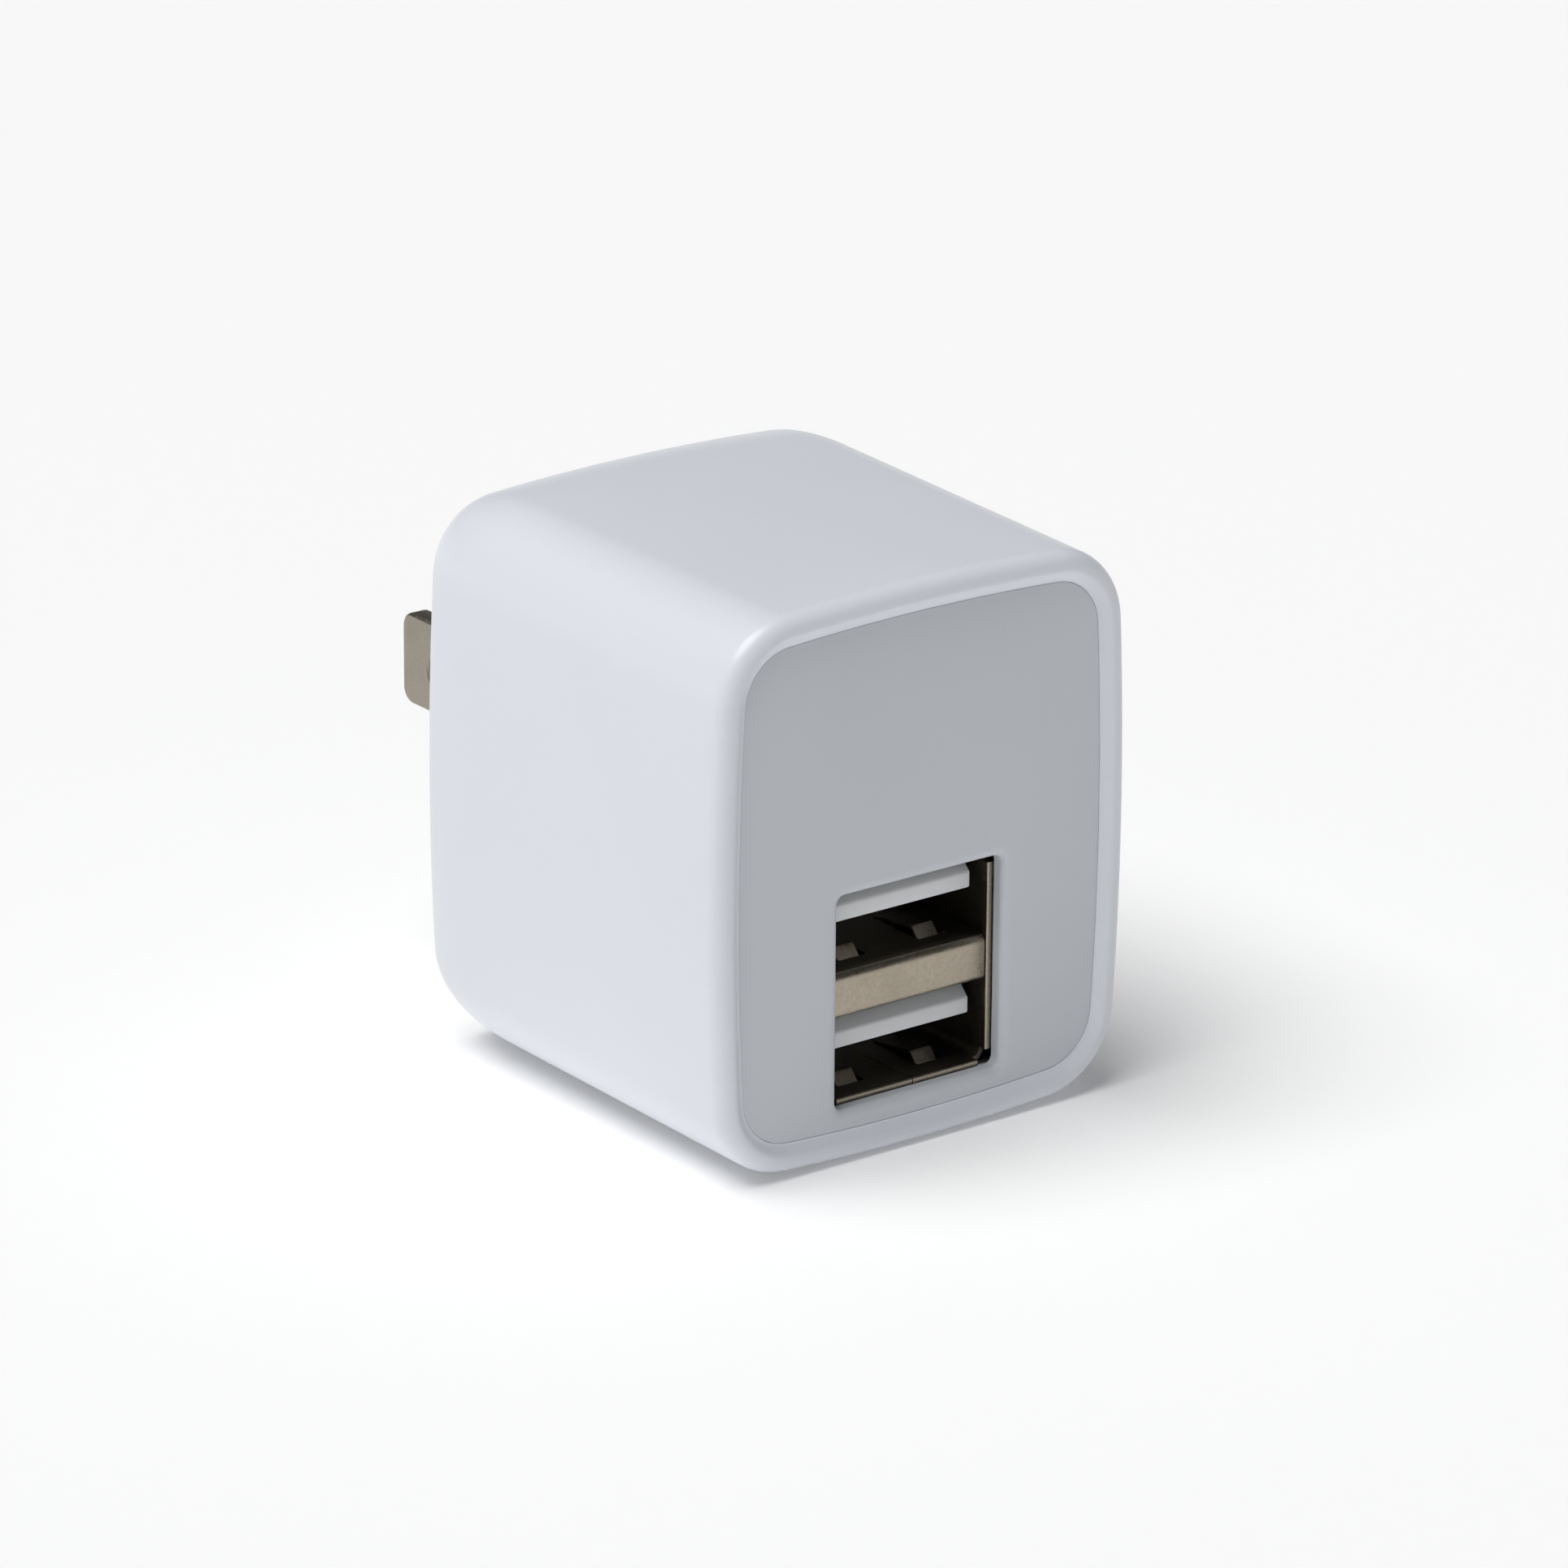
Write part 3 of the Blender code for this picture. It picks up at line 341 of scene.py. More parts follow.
def combine(obj, other, operation):
    """Adds or subtracts the other solid, which is then removed."""
    modifier = obj.modifiers.new("combine", "BOOLEAN")
    modifier.operation = operation
    modifier.solver = "EXACT"
    modifier.object = other
    apply_modifiers(obj)
    bpy.data.objects.remove(other, do_unlink=True)


def round_edges(obj, width):
    """Rounds every edge that turns by more than the angle of a sharp edge."""
    modifier = obj.modifiers.new("round", "BEVEL")
    modifier.width = width
    modifier.segments = ROUNDING_STEPS
    modifier.limit_method = "ANGLE"
    modifier.angle_limit = SHARP_ANGLE
    apply_modifiers(obj)


def paint_shade_inside(obj, finish, inside):
    """Gives a darker colour, painted shade, to each face whose middle and normal pass the test."""
    obj.data.materials.append(finish)
    for face in obj.data.polygons:
        if inside(face.center, face.normal):
            face.material_index = 1


def install(obj, slot, *nodes):
    """The finished piece rides on the object's one body, and stands for these CAD nodes."""
    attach(obj, "root")
    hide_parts(*nodes)


# ---------------------------------------------------------------- materials


class Finish:
    """A material's node tree, with a method for each kind of node that the finishes share."""

    def __init__(self, name, roughness, metallic=0.0, sockets=None):
        self.material = bpy.data.materials.new(name)
        self.material.use_nodes = True
        self.nodes = self.material.node_tree.nodes
        self.links = self.material.node_tree.links
        self.shader = self.nodes["Principled BSDF"]
        self.shader.inputs["Roughness"].default_value = roughness
        self.shader.inputs["Metallic"].default_value = metallic
        for socket, value in (sockets or {}).items():
            self.shader.inputs[socket].default_value = value
        self.place = self.add("ShaderNodeTexCoord").outputs["Object"]

    def add(self, kind, inputs=None, **settings):
        """A node with these settings; an input's value is a number, a colour or an output to link."""
        node = self.nodes.new(kind)
        for key, value in settings.items():
            setattr(node, key, value)
        for key, value in (inputs or {}).items():
            if isinstance(value, bpy.types.NodeSocket):
                self.links.new(value, node.inputs[key])
            else:
                node.inputs[key].default_value = value
        return node

    def scaled(self, size, stretch=(1.0, 1.0, 1.0)):
        """Object coordinates in units of a feature's size, stretched along the axes."""
        factors = [1.0 / (size * part) for part in stretch]
        return self.add(
            "ShaderNodeVectorMath", {0: self.place, 1: factors}, operation="MULTIPLY"
        ).outputs[0]

    def noise(self, size, detail=2.0, stretch=(1.0, 1.0, 1.0)):
        inputs = {"Vector": self.scaled(size, stretch), "Scale": 1.0, "Detail": detail}
        return self.add("ShaderNodeTexNoise", inputs).outputs["Fac"]

    def cells(self, size, feature="F1", metric="EUCLIDEAN"):
        inputs = {"Vector": self.scaled(size), "Scale": 1.0}
        node = self.add("ShaderNodeTexVoronoi", inputs, feature=feature)
        if feature != "DISTANCE_TO_EDGE":
            node.distance = metric
        return node.outputs["Distance"]

    def spread(self, value, start, end, low, high):
        """Maps start..end of the value to low..high, held at both ends."""
        inputs = {
            "Value": value, "From Min": start, "From Max": end, "To Min": low, "To Max": high
        }
        return self.add("ShaderNodeMapRange", inputs).outputs[0]

    def math(self, operation, first, second):
        return self.add("ShaderNodeMath", {0: first, 1: second}, operation=operation).outputs[0]

    def axis(self, name):
        return self.add("ShaderNodeSeparateXYZ", {0: self.place}).outputs[name]

    def mix(self, factor, first, second):
        """The first colour where the factor is 0, the second where it is 1."""
        first_input = first if isinstance(first, bpy.types.NodeSocket) else (*first, 1.0)
        node = self.add(
            "ShaderNodeMix", {0: factor, 6: first_input, 7: (*second, 1.0)}, data_type="RGBA"
        )
        return node.outputs[2]

    def bump(self, height, distance, normal=None):
        inputs = {"Height": height, "Distance": distance, "Strength": 1.0}
        if normal:
            inputs["Normal"] = normal
        return self.add("ShaderNodeBump", inputs).outputs[0]

    def wire(self, colour=None, roughness=None, normal=None):
        """Links the finished colour, roughness and normal to the shader."""
        for socket, value in (
            ("Base Color", colour), ("Roughness", roughness), ("Normal", normal)
        ):
            if value:
                self.links.new(value, self.shader.inputs[socket])
        return self.material


def shade(colour, factor):
    return tuple(part * factor for part in colour)


def moulded(name, colour, roughness, peel=0.7e-6, grain=0.2e-6, coat=0.0):
    """Moulded plastic: faint flow marks, slight orange peel, a fine grain and a few dark specks."""
    finish = Finish(name, roughness, sockets={
        "Coat Weight": coat, "Coat Roughness": 0.07, "Specular IOR Level": 0.5,
    })
    flow = finish.spread(finish.noise(9 * MM, 3), 0.3, 0.7, 0.0, 1.0)
    tone = finish.mix(flow, shade(colour, 0.988), colour)
    near = finish.spread(finish.cells(2.3 * MM), 0.014, 0.030, 1.0, 0.0)
    speck = finish.math("MULTIPLY", near, finish.spread(finish.noise(5 * MM), 0.5, 0.6, 0.0, 0.45))
    tone = finish.mix(speck, tone, shade(colour, 0.5))
    rough = finish.math(
        "ADD",
        finish.spread(finish.noise(0.6 * MM, 3), 0.4, 0.75, -0.01, 0.02),
        finish.spread(flow, 0.0, 1.0, roughness - 0.01, roughness + 0.01),
    )
    normal = finish.bump(finish.noise(0.09 * MM, 1), grain)
    normal = finish.bump(finish.noise(1.6 * MM, 1), peel, normal)
    return finish.wire(tone, rough, normal)


def spark_eroded(name, colour, roughness):
    """Matt moulded plastic with the fine even grain of an eroded tool."""
    finish = Finish(name, roughness)
    grain = finish.noise(0.16 * MM, 3)
    cloud = finish.noise(6 * MM, 2)
    tone = finish.mix(finish.spread(cloud, 0.3, 0.7, 0.0, 1.0), shade(colour, 0.96), colour)
    tone = finish.mix(finish.spread(grain, 0.62, 0.8, 0.0, 0.35), tone, shade(colour, 0.8))
    rough = finish.spread(grain, 0.3, 0.7, roughness - 0.06, roughness + 0.08)
    return finish.wire(tone, rough, finish.bump(grain, 9e-6))


def plated(name, light, dark, roughness, lines=(1.0, 30.0, 1.0), wear=None):
    """Plated sheet metal: mottled tone, drawn lines along one axis, pits and dull patches."""
    finish = Finish(name, roughness, metallic=1.0)
    mottle = finish.noise(0.22 * MM, 4)
    patch = finish.noise(2.6 * MM, 3)
    drawn = finish.noise(0.045 * MM, 2, lines)
    tone = finish.mix(finish.spread(mottle, 0.35, 0.68, 0.0, 1.0), dark, light)
    tone = finish.mix(finish.spread(patch, 0.5, 0.75, 0.0, 0.35), tone, shade(dark, 0.85))
    if wear:
        rubbed = finish.spread(finish.noise(1.1 * MM, 4), 0.6, 0.75, 0.0, 0.35)
        tone = finish.mix(rubbed, tone, wear)
    rough = finish.math(
        "ADD",
        finish.spread(mottle, 0.3, 0.7, roughness - 0.05, roughness + 0.10),
        finish.spread(drawn, 0.4, 0.7, -0.04, 0.08),
    )
    normal = finish.bump(drawn, 0.7e-6)
    normal = finish.bump(mottle, 2.5e-6, normal)
    return finish.wire(tone, rough, normal)


def circuit_board(name, mask, copper):
    """Solder mask over copper tracks, with tinned pads and a faint glass weave."""
    finish = Finish(name, 0.35, sockets={"Coat Weight": 0.3, "Coat Roughness": 0.2})
    edge = finish.cells(2.1 * MM, feature="DISTANCE_TO_EDGE")
    track = finish.spread(edge, 0.06, 0.08, 1.0, 0.0)
    tone = finish.mix(track, mask, copper)
    pad = finish.spread(finish.cells(1.7 * MM, metric="CHEBYCHEV"), 0.16, 0.17, 1.0, 0.0)
    tone = finish.mix(pad, tone, (0.55, 0.56, 0.55))
    weave = finish.noise(0.2 * MM, 2, (1.0, 0.4, 1.0))
    rough = finish.spread(weave, 0.3, 0.7, 0.28, 0.42)
    return finish.wire(tone, rough, finish.bump(track, 18e-6, finish.bump(weave, 2e-6)))


def film(name, colour):
    """Thin translucent film with scuffs and a slight waviness."""
    finish = Finish(name, 0.3, sockets={"Transmission Weight": 0.35, "IOR": 1.5})
    scuff = finish.noise(0.8 * MM, 4, (1.0, 5.0, 1.0))
    tone = finish.mix(finish.spread(scuff, 0.5, 0.75, 0.0, 1.0), colour, shade(colour, 0.85))
    rough = finish.spread(scuff, 0.4, 0.7, 0.22, 0.45)
    return finish.wire(tone, rough, finish.bump(finish.noise(5 * MM, 1), 30e-6))


def sintered(name, colour, roughness, grain_size, depth):
    """A pressed or cast body with a visible grain and lighter chipped spots."""
    finish = Finish(name, roughness)
    grain = finish.noise(grain_size, 4)
    chips = finish.spread(finish.cells(1.4 * MM), 0.07, 0.12, 0.5, 0.0)
    tone = finish.mix(finish.spread(grain, 0.3, 0.7, 0.0, 1.0), shade(colour, 0.7), shade(colour, 1.3))
    tone = finish.mix(chips, tone, shade(colour, 2.4))
    rough = finish.spread(grain, 0.3, 0.7, roughness - 0.1, roughness + 0.1)
    return finish.wire(tone, rough, finish.bump(grain, depth))


def wound_tape(name, colour):
    """Glossy polyester tape in overlapping turns, each edge a fine step."""
    finish = Finish(name, 0.25, sockets={"Coat Weight": 0.4, "Coat Roughness": 0.1})
    turns = finish.math("FRACT", finish.math("MULTIPLY", finish.axis("Z"), 1.0 / (0.9 * MM)), 0.0)
    wobble = finish.noise(1.5 * MM, 2)
    edge = finish.spread(turns, 0.9, 0.97, 0.0, 1.0)
    tone = finish.mix(finish.spread(wobble, 0.3, 0.7, 0.0, 1.0), shade(colour, 0.85), colour)
    tone = finish.mix(edge, tone, shade(colour, 0.45))
    rough = finish.spread(wobble, 0.3, 0.7, 0.18, 0.34)
    return finish.wire(tone, rough, finish.bump(turns, 25e-6, finish.bump(wobble, 20e-6)))


def striped(name, colour, stripe, axis, spans, roughness=0.3):
    """A coated component with plain stripes across one axis, and the coating's slight sag."""
    finish = Finish(name, roughness, sockets={"Coat Weight": 0.5, "Coat Roughness": 0.12})
    cloud = finish.noise(1.8 * MM, 3)
    tone = finish.mix(finish.spread(cloud, 0.3, 0.7, 0.0, 1.0), shade(colour, 0.8), colour)
    along = finish.axis(axis)
    for start, end in spans:
        inside = finish.math(
            "MULTIPLY",
            finish.math("GREATER_THAN", along, start),
            finish.math("LESS_THAN", along, end),
        )
        tone = finish.mix(inside, tone, stripe)
    rough = finish.spread(cloud, 0.3, 0.7, roughness - 0.07, roughness + 0.1)
    return finish.wire(tone, rough, finish.bump(cloud, 14e-6))


def studio_floor(name, colour, glow):
    """Pale paper with a faint grain, lit a little from within so that it stays near white."""
    finish = Finish(name, 0.9, sockets={
        "Emission Color": (1.0, 1.0, 1.0, 1.0), "Emission Strength": glow, "Specular IOR Level": 0.1,
    })
    fibre = finish.noise(1.2 * MM, 3)
    tone = finish.mix(finish.spread(fibre, 0.3, 0.7, 0.0, 1.0), shade(colour, 0.99), colour)
    rough = finish.spread(fibre, 0.3, 0.7, 0.85, 0.95)
    return finish.wire(tone, rough, finish.bump(fibre, 4e-6))


def make_finishes():
    resistor_low, resistor_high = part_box("fuse_resistor")
    capacitor_low, capacitor_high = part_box("input_capacitor_1")
    bands = [blend(resistor_low.y, resistor_high.y, share) for share in (0.3, 0.42, 0.54, 0.7)]
    stripe_end = blend(capacitor_low.x, capacitor_high.x, 0.07)
    return {
        "white_gloss": moulded("white_gloss", (0.78, 0.805, 0.855), 0.34, coat=0.06),
        "panel_gloss": moulded("panel_gloss", (0.635, 0.665, 0.705), 0.38),
        "cover_white": spark_eroded("cover_white", (0.78, 0.80, 0.83), 0.45),
        "blade_nickel": plated(
            "blade_nickel", (0.38, 0.345, 0.285), (0.33, 0.295, 0.24), 0.36, (1.0, 1.0, 40.0)
        ),
        "socket_steel": plated(
            "socket_steel", (0.43, 0.38, 0.31), (0.35, 0.305, 0.24), 0.34, (40.0, 1.0, 1.0),
            wear=(0.30, 0.25, 0.19),
        ),
        # a dark copy of the socket steel: painted shade for the faces inside the ports
        "socket_painted_shade": plated(
            "socket_painted_shade", (0.10, 0.085, 0.065), (0.07, 0.06, 0.045), 0.5, (40.0, 1.0, 1.0),
        ),
        "socket_plastic": moulded("socket_plastic", (0.80, 0.815, 0.83), 0.42, 1.0e-6, 1.2e-6),
        "contact_gold": plated("contact_gold", (0.86, 0.64, 0.28), (0.72, 0.50, 0.20), 0.25),
        "board_green": circuit_board("board_green", (0.008, 0.04, 0.018), (0.015, 0.075, 0.032)),
        "film": film("film", (0.78, 0.76, 0.62)),
        "chip_black": spark_eroded("chip_black", (0.03, 0.03, 0.035), 0.5),
        "ferrite": sintered("ferrite", (0.10, 0.10, 0.11), 0.6, 0.12 * MM, 12e-6),
        "bobbin_plastic": spark_eroded("bobbin_plastic", (0.06, 0.06, 0.06), 0.5),
        "tape_yellow": wound_tape("tape_yellow", (0.85, 0.62, 0.08)),
        "capacitor_sleeve": striped(
            "capacitor_sleeve", (0.04, 0.06, 0.16), (0.55, 0.57, 0.60), "X",
            [(capacitor_low.x - MM, stripe_end)],
        ),
        "capacitor_blue": sintered("capacitor_blue", (0.07, 0.22, 0.55), 0.35, 0.9 * MM, 20e-6),
        "resistor_green": striped(
            "resistor_green", (0.15, 0.35, 0.25), (0.50, 0.30, 0.10), "Y",
            [(band, band + 0.45 * MM) for band in bands], 0.5,
        ),
        "lead_red": moulded("lead_red", (0.55, 0.04, 0.03), 0.42),
        "lead_black": moulded("lead_black", (0.03, 0.03, 0.03), 0.42),
    }


def refinish_cad_nodes(finishes):
    """Gives each carried-over CAD node the finish of its material slot."""
    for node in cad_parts.values():
        slot = node.material_slots[0].material.name.split(".")[0]
        node.material_slots[0].material = finishes[slot]


# ---------------------------------------------------------------- casing


def quarter_outline(half_width, half_height, inset, corner_radius):
    """(x, z) points of one quarter of a section, from the middle of its side to that of its top.

    Three arcs that meet in tangents: the bulging side, the corner and the bulging top.
    """
    side_radius = SIDE_BULGE_RADIUS - inset
    top_radius = TOP_BULGE_RADIUS - inset
    radius = corner_radius - inset
    side_centre = Vector((half_width - SIDE_BULGE_RADIUS, 0.0))
    top_centre = Vector((0.0, half_height - TOP_BULGE_RADIUS))
    from_side = side_radius - radius
    from_top = top_radius - radius
    between = side_centre - top_centre
    distance = between.length
    along = (from_top**2 - from_side**2 + distance**2) / (2 * distance)
    across = math.sqrt(from_top**2 - along**2)
    direction = between / distance
    centre = top_centre + direction * along + Vector((direction.y, -direction.x)) * across
    side_angle = math.atan2(centre.y - side_centre.y, centre.x - side_centre.x)
    top_angle = math.atan2(centre.y - top_centre.y, centre.x - top_centre.x)
    points = arc(side_centre, side_radius, 0.0, side_angle, SIDE_STEPS)[:-1]
    points += arc(centre, radius, side_angle, top_angle, CORNER_STEPS)
    points += arc(top_centre, top_radius, top_angle, math.pi / 2, SIDE_STEPS)[1:]
    return points


def section(inset, depth):
    """The casing's outline moved in by the inset, at this depth behind the front, as points."""
    share = depth / BODY_DEPTH
    half_width = blend(FRONT_WIDTH, BACK_WIDTH, share) / 2
    half_height = blend(FRONT_HEIGHT, BACK_HEIGHT, share) / 2
    lower_radius = blend(FRONT_CORNER_RADIUS_BOTTOM, BACK_CORNER_RADIUS_BOTTOM, share)
    upper = quarter_outline(half_width, half_height, inset + SKIN, CORNER_RADIUS_TOP)
    lower = quarter_outline(half_width, half_height, inset + SKIN, lower_radius)
    right = [(x, -z) for x, z in reversed(lower)] + upper[1:]
    whole = right + [(-x, z) for x, z in reversed(right[1:-1])]
    return [(x, FRONT + depth, half_height + z) for x, z in whole]


def bead_slope():
    """(inset, depth) points of the soft slope from the bead's crest down to the panel's face."""
    shares = [k / BEAD_STEPS for k in range(1, BEAD_STEPS + 1)]
    return [
        (
            blend(BEAD_OUTER_RADIUS, BEAD_WIDTH, share),
            PANEL_RECESS * (1 - math.cos(math.pi * share)) / 2,
        )
        for share in shares
    ]


def sleeve(finish):
    """The casing tube with its rounded back edge, the bead round the panel and the ledge behind it."""
    quarter = arc((1.0, 0.0), 1.0, math.pi / 2, math.pi, BACK_EDGE_STEPS)
    edge_start = BODY_DEPTH - BACK_EDGE_DEPTH
    profile = [
        (x * BACK_EDGE_INSET, edge_start + y * BACK_EDGE_DEPTH) for x, y in quarter
    ]
    profile += [
        (0.0, blend(edge_start, BEAD_OUTER_RADIUS, k / SLEEVE_RINGS)) for k in range(1, SLEEVE_RINGS)
    ]
    outer = (BEAD_OUTER_RADIUS, BEAD_OUTER_RADIUS)
    profile += arc(outer, BEAD_OUTER_RADIUS, math.pi, 1.5 * math.pi, BEAD_STEPS)
    profile += bead_slope()
    ledge = PANEL_BACK + SLOT_ROOM
    profile += [
        (BEAD_WIDTH, ledge),
        (LEDGE_INSET, ledge),
        (LEDGE_INSET, ledge + LEDGE_DEPTH),
        (WALL, ledge + LEDGE_DEPTH),
        (WALL, BODY_DEPTH - BACK_RIM_DEPTH - (BACK_RIM_INSET - WALL)),
        (BACK_RIM_INSET, BODY_DEPTH - BACK_RIM_DEPTH),
        (BACK_RIM_INSET, BODY_DEPTH - BACK_RIM_CHAMFER),
        (BACK_RIM_INSET - BACK_RIM_CHAMFER, BODY_DEPTH),
    ]
    bm = bmesh.new()
    skin(bm, [section(inset, depth) for inset, depth in profile], closed=True)
    install(made("sleeve", bm, finish), "white_gloss", "housing_sleeve")


def window_ring(growth, depth):
    """The window's outline, grown by this much, at this depth behind the front."""
    outline = rounded_rectangle(
        WINDOW_WIDTH / 2 + growth,
        WINDOW_BOTTOM - growth,
        WINDOW_TOP + growth,
        WINDOW_CORNER_RADIUS + growth,
    )
    return [(WINDOW_X + x, FRONT + depth, z) for x, z in outline]


def face_panel(finish):
    """The panel, its outer edge and its window softly rounded."""
    edge = BEAD_WIDTH + PANEL_GAP
    rounding = arc((PANEL_ROUNDING,) * 2, PANEL_ROUNDING, 1.5 * math.pi, math.pi, PANEL_ROUNDING_STEPS)
    outer = [section(edge + inset, PANEL_RECESS + depth) for inset, depth in rounding]
    outer.append(section(edge, PANEL_BACK))
    quarter = arc((1.0, 1.0), 1.0, 1.5 * math.pi, math.pi, WINDOW_ROUNDING_STEPS)
    inner = [
        window_ring(
            growth * WINDOW_ROUNDING_WIDTH, PANEL_RECESS + depth * WINDOW_ROUNDING_DEPTH
        )
        for growth, depth in quarter
    ]
    inner.append(window_ring(0.0, PANEL_BACK))
    bm = bmesh.new()
    outer_loops = skin(bm, outer)
    inner_loops = skin(bm, inner)
    fill_between(bm, outer_loops[0], inner_loops[0])
    fill_between(bm, outer_loops[-1], inner_loops[-1])
    install(made("face_panel", bm, finish), "panel_gloss", "front_panel")


def blade_slot(x, low, high):
    """A cutter for one blade's slot, flared towards the back."""
    half_width = (high.z - low.z) / 2 + SLOT_ROOM
    half_thickness = (high.x - low.x) / 2 + SLOT_ROOM
    middle = (high.z + low.z) / 2
    outer = BACK - COVER_RECESS
    steps = (
        (COVER_INNER - CUT_MARGIN, 0.0),
        (outer - SLOT_FLARE, 0.0),
        (outer, SLOT_FLARE),
        (outer + CUT_MARGIN, SLOT_FLARE),
    )
    rings = []
    for y, flare in steps:
        outline = rounded_rectangle(
            half_thickness + flare,
            -half_width - flare,
            half_width + flare,
            SLOT_CORNER_RADIUS + flare,
            SLOT_STEPS,
        )
        rings.append([(x + px, y, middle + pz) for px, pz in outline])
    bm = bmesh.new()
    loft(bm, rings)
    return made("guide", bm)


def back_cover(finish):
    """The cover with a rounded rim, a skirt that reaches into the casing, and two flared slots."""
    inner = BODY_DEPTH - COVER_THICKNESS
    skirt_inner = COVER_EDGE_INSET + COVER_SKIRT_THICKNESS
    outer = BODY_DEPTH - COVER_RECESS
    centre = (COVER_EDGE_INSET + COVER_ROUNDING, outer - COVER_ROUNDING)
    profile = [
        (skirt_inner, inner),
        (skirt_inner, inner - COVER_SKIRT_LENGTH),
        (COVER_EDGE_INSET, inner - COVER_SKIRT_LENGTH),
    ]
    profile += arc(centre, COVER_ROUNDING, math.pi, math.pi / 2, COVER_ROUNDING_STEPS)
    bm = bmesh.new()
    loft(bm, [section(inset, depth) for inset, depth in profile])
    cover = made("back_cover", bm, finish)
    for name in ("blade_left", "blade_right"):
        low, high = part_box(name)
        combine(cover, blade_slot((low.x + high.x) / 2, low, high), "DIFFERENCE")
    install(cover, "cover_white", "rear_cover")


# ---------------------------------------------------------------- blades


def plate(outline, thickness):
    """A bmesh of a (y, z) outline extruded to this thickness about X = 0."""
    bm = bmesh.new()
    extrude_yz(bm, outline, -thickness / 2, thickness / 2)
    return bm


def blade(name, node, finish):
    """A blade with a rounded rim and tip, its hole countersunk on both faces, and its hidden root."""
    low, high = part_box(node)
    x = (low.x + high.x) / 2
    middle = (low.z + high.z) / 2
    half = (high.z - low.z) / 2
    thickness = high.x - low.x
    tip = BACK + BLADE_LENGTH
    start = BACK - BLADE_START
    r = BLADE_TIP_RADIUS
    outline = [(start, half), (start, -half)]
    outline += arc((tip - r, -half + r), r, -math.pi / 2, 0.0, BLADE_TIP_STEPS)
    outline += arc((tip - r, half - r), r, 0.0, math.pi / 2, BLADE_TIP_STEPS)
    made_blade = made(name, plate(outline, thickness), finish)
    round_edges(made_blade, BLADE_ROUNDING)

    shoulder = BACK - BLADE_SHOULDER
    tail_end = shoulder - BLADE_TAIL_LENGTH
    tail_low = half - BLADE_TAIL_WIDTH
    inner = half - BLADE_ROOT_INSET
    root = [
        (tail_end, inner),
        (tail_end, tail_low),
        (shoulder, tail_low),
        (shoulder, -inner),
        (start + BLADE_ROOT_OVERLAP, -inner),
        (start + BLADE_ROOT_OVERLAP, inner),
    ]
    combine(made_blade, made("guide", plate(root, BLADE_ROOT_THICKNESS)), "UNION")
    combine(made_blade, blade_hole(tip - BLADE_HOLE_FROM_TIP, thickness), "DIFFERENCE")
    made_blade.data.transform(Matrix.Translation((x, 0.0, middle)))
    install(made_blade, "blade_nickel", node)


def blade_hole(y, thickness):
    """An hourglass cutter along X: a round hole with a small countersink at each face."""
    half = thickness / 2
    steps = (
        (-half - BLADE_HOLE_FLARE, BLADE_HOLE_FLARE * 2),
        (-half + BLADE_HOLE_FLARE, 0.0),
        (half - BLADE_HOLE_FLARE, 0.0),
        (half + BLADE_HOLE_FLARE, BLADE_HOLE_FLARE * 2),
    )
    rings = []
    for x, flare in steps:
        turns = [2 * math.pi * k / HOLE_STEPS for k in range(HOLE_STEPS)]
        radius = BLADE_HOLE_RADIUS + flare
        rings.append([(x, y + radius * math.cos(a), radius * math.sin(a)) for a in turns])
    bm = bmesh.new()
    loft(bm, rings)
    return made("guide", bm)


# ---------------------------------------------------------------- USB socket


def finger(bm, x, floor_z):
    """A spring finger: a bent strip that comes up from the floor and turns down at its free tip."""
    top = [Vector((SHELL_FRONT + y, floor_z + z)) for y, z in FINGER_PATH]
    under = []
    for i, point in enumerate(top):
        before = top[max(i - 1, 0)]
        after = top[min(i + 1, len(top) - 1)]
        along = (after - before).normalized()
        under.append(point + Vector((along.y, -along.x)) * FINGER_THICKNESS)
    outline = [tuple(point) for point in top] + [tuple(point) for point in reversed(under)]
    strip = bmesh.new()
    extrude_yz(strip, outline, x - FINGER_WIDTH / 2, x + FINGER_WIDTH / 2)
    tips = (top[0], under[0])
    corners = [edge for edge in strip.edges if is_tip_corner(edge, tips)]
    bmesh.ops.bevel(strip, geom=corners, offset=FINGER_TIP_RADIUS, segments=FINGER_TIP_STEPS, affect="EDGES")
    mesh = bpy.data.meshes.new("strip")
    strip.to_mesh(mesh)
    strip.free()
    bm.from_mesh(mesh)
    bpy.data.meshes.remove(mesh)


def is_tip_corner(edge, tips):
    """True for the two short edges through the strip's thickness at its free end."""
    first, second = (Vector((vert.co.y, vert.co.z)) for vert in edge.verts)
    return any(
        (first - one).length < SAME_PLACE and (second - other).length < SAME_PLACE
        for one, other in (tips, tips[::-1])
    )


def finger_slots(floor_z):
    """Boxes for the slots that the fingers are cut from, through the sheet under the floor."""
    found = []
    half = FINGER_WIDTH / 2 + FINGER_SLOT_ROOM
    front = SHELL_FRONT + FINGER_PATH[0][0] - FINGER_SLOT_ROOM
    for x in FINGER_X:
        low = (x - half, front, floor_z - SHEET - SHEET_CUT_ROOM)
        high = (x + half, SHELL_FRONT + FINGER_PATH[-2][0], floor_z + SHEET_CUT_ROOM)
        found.append((low, high))
    return found


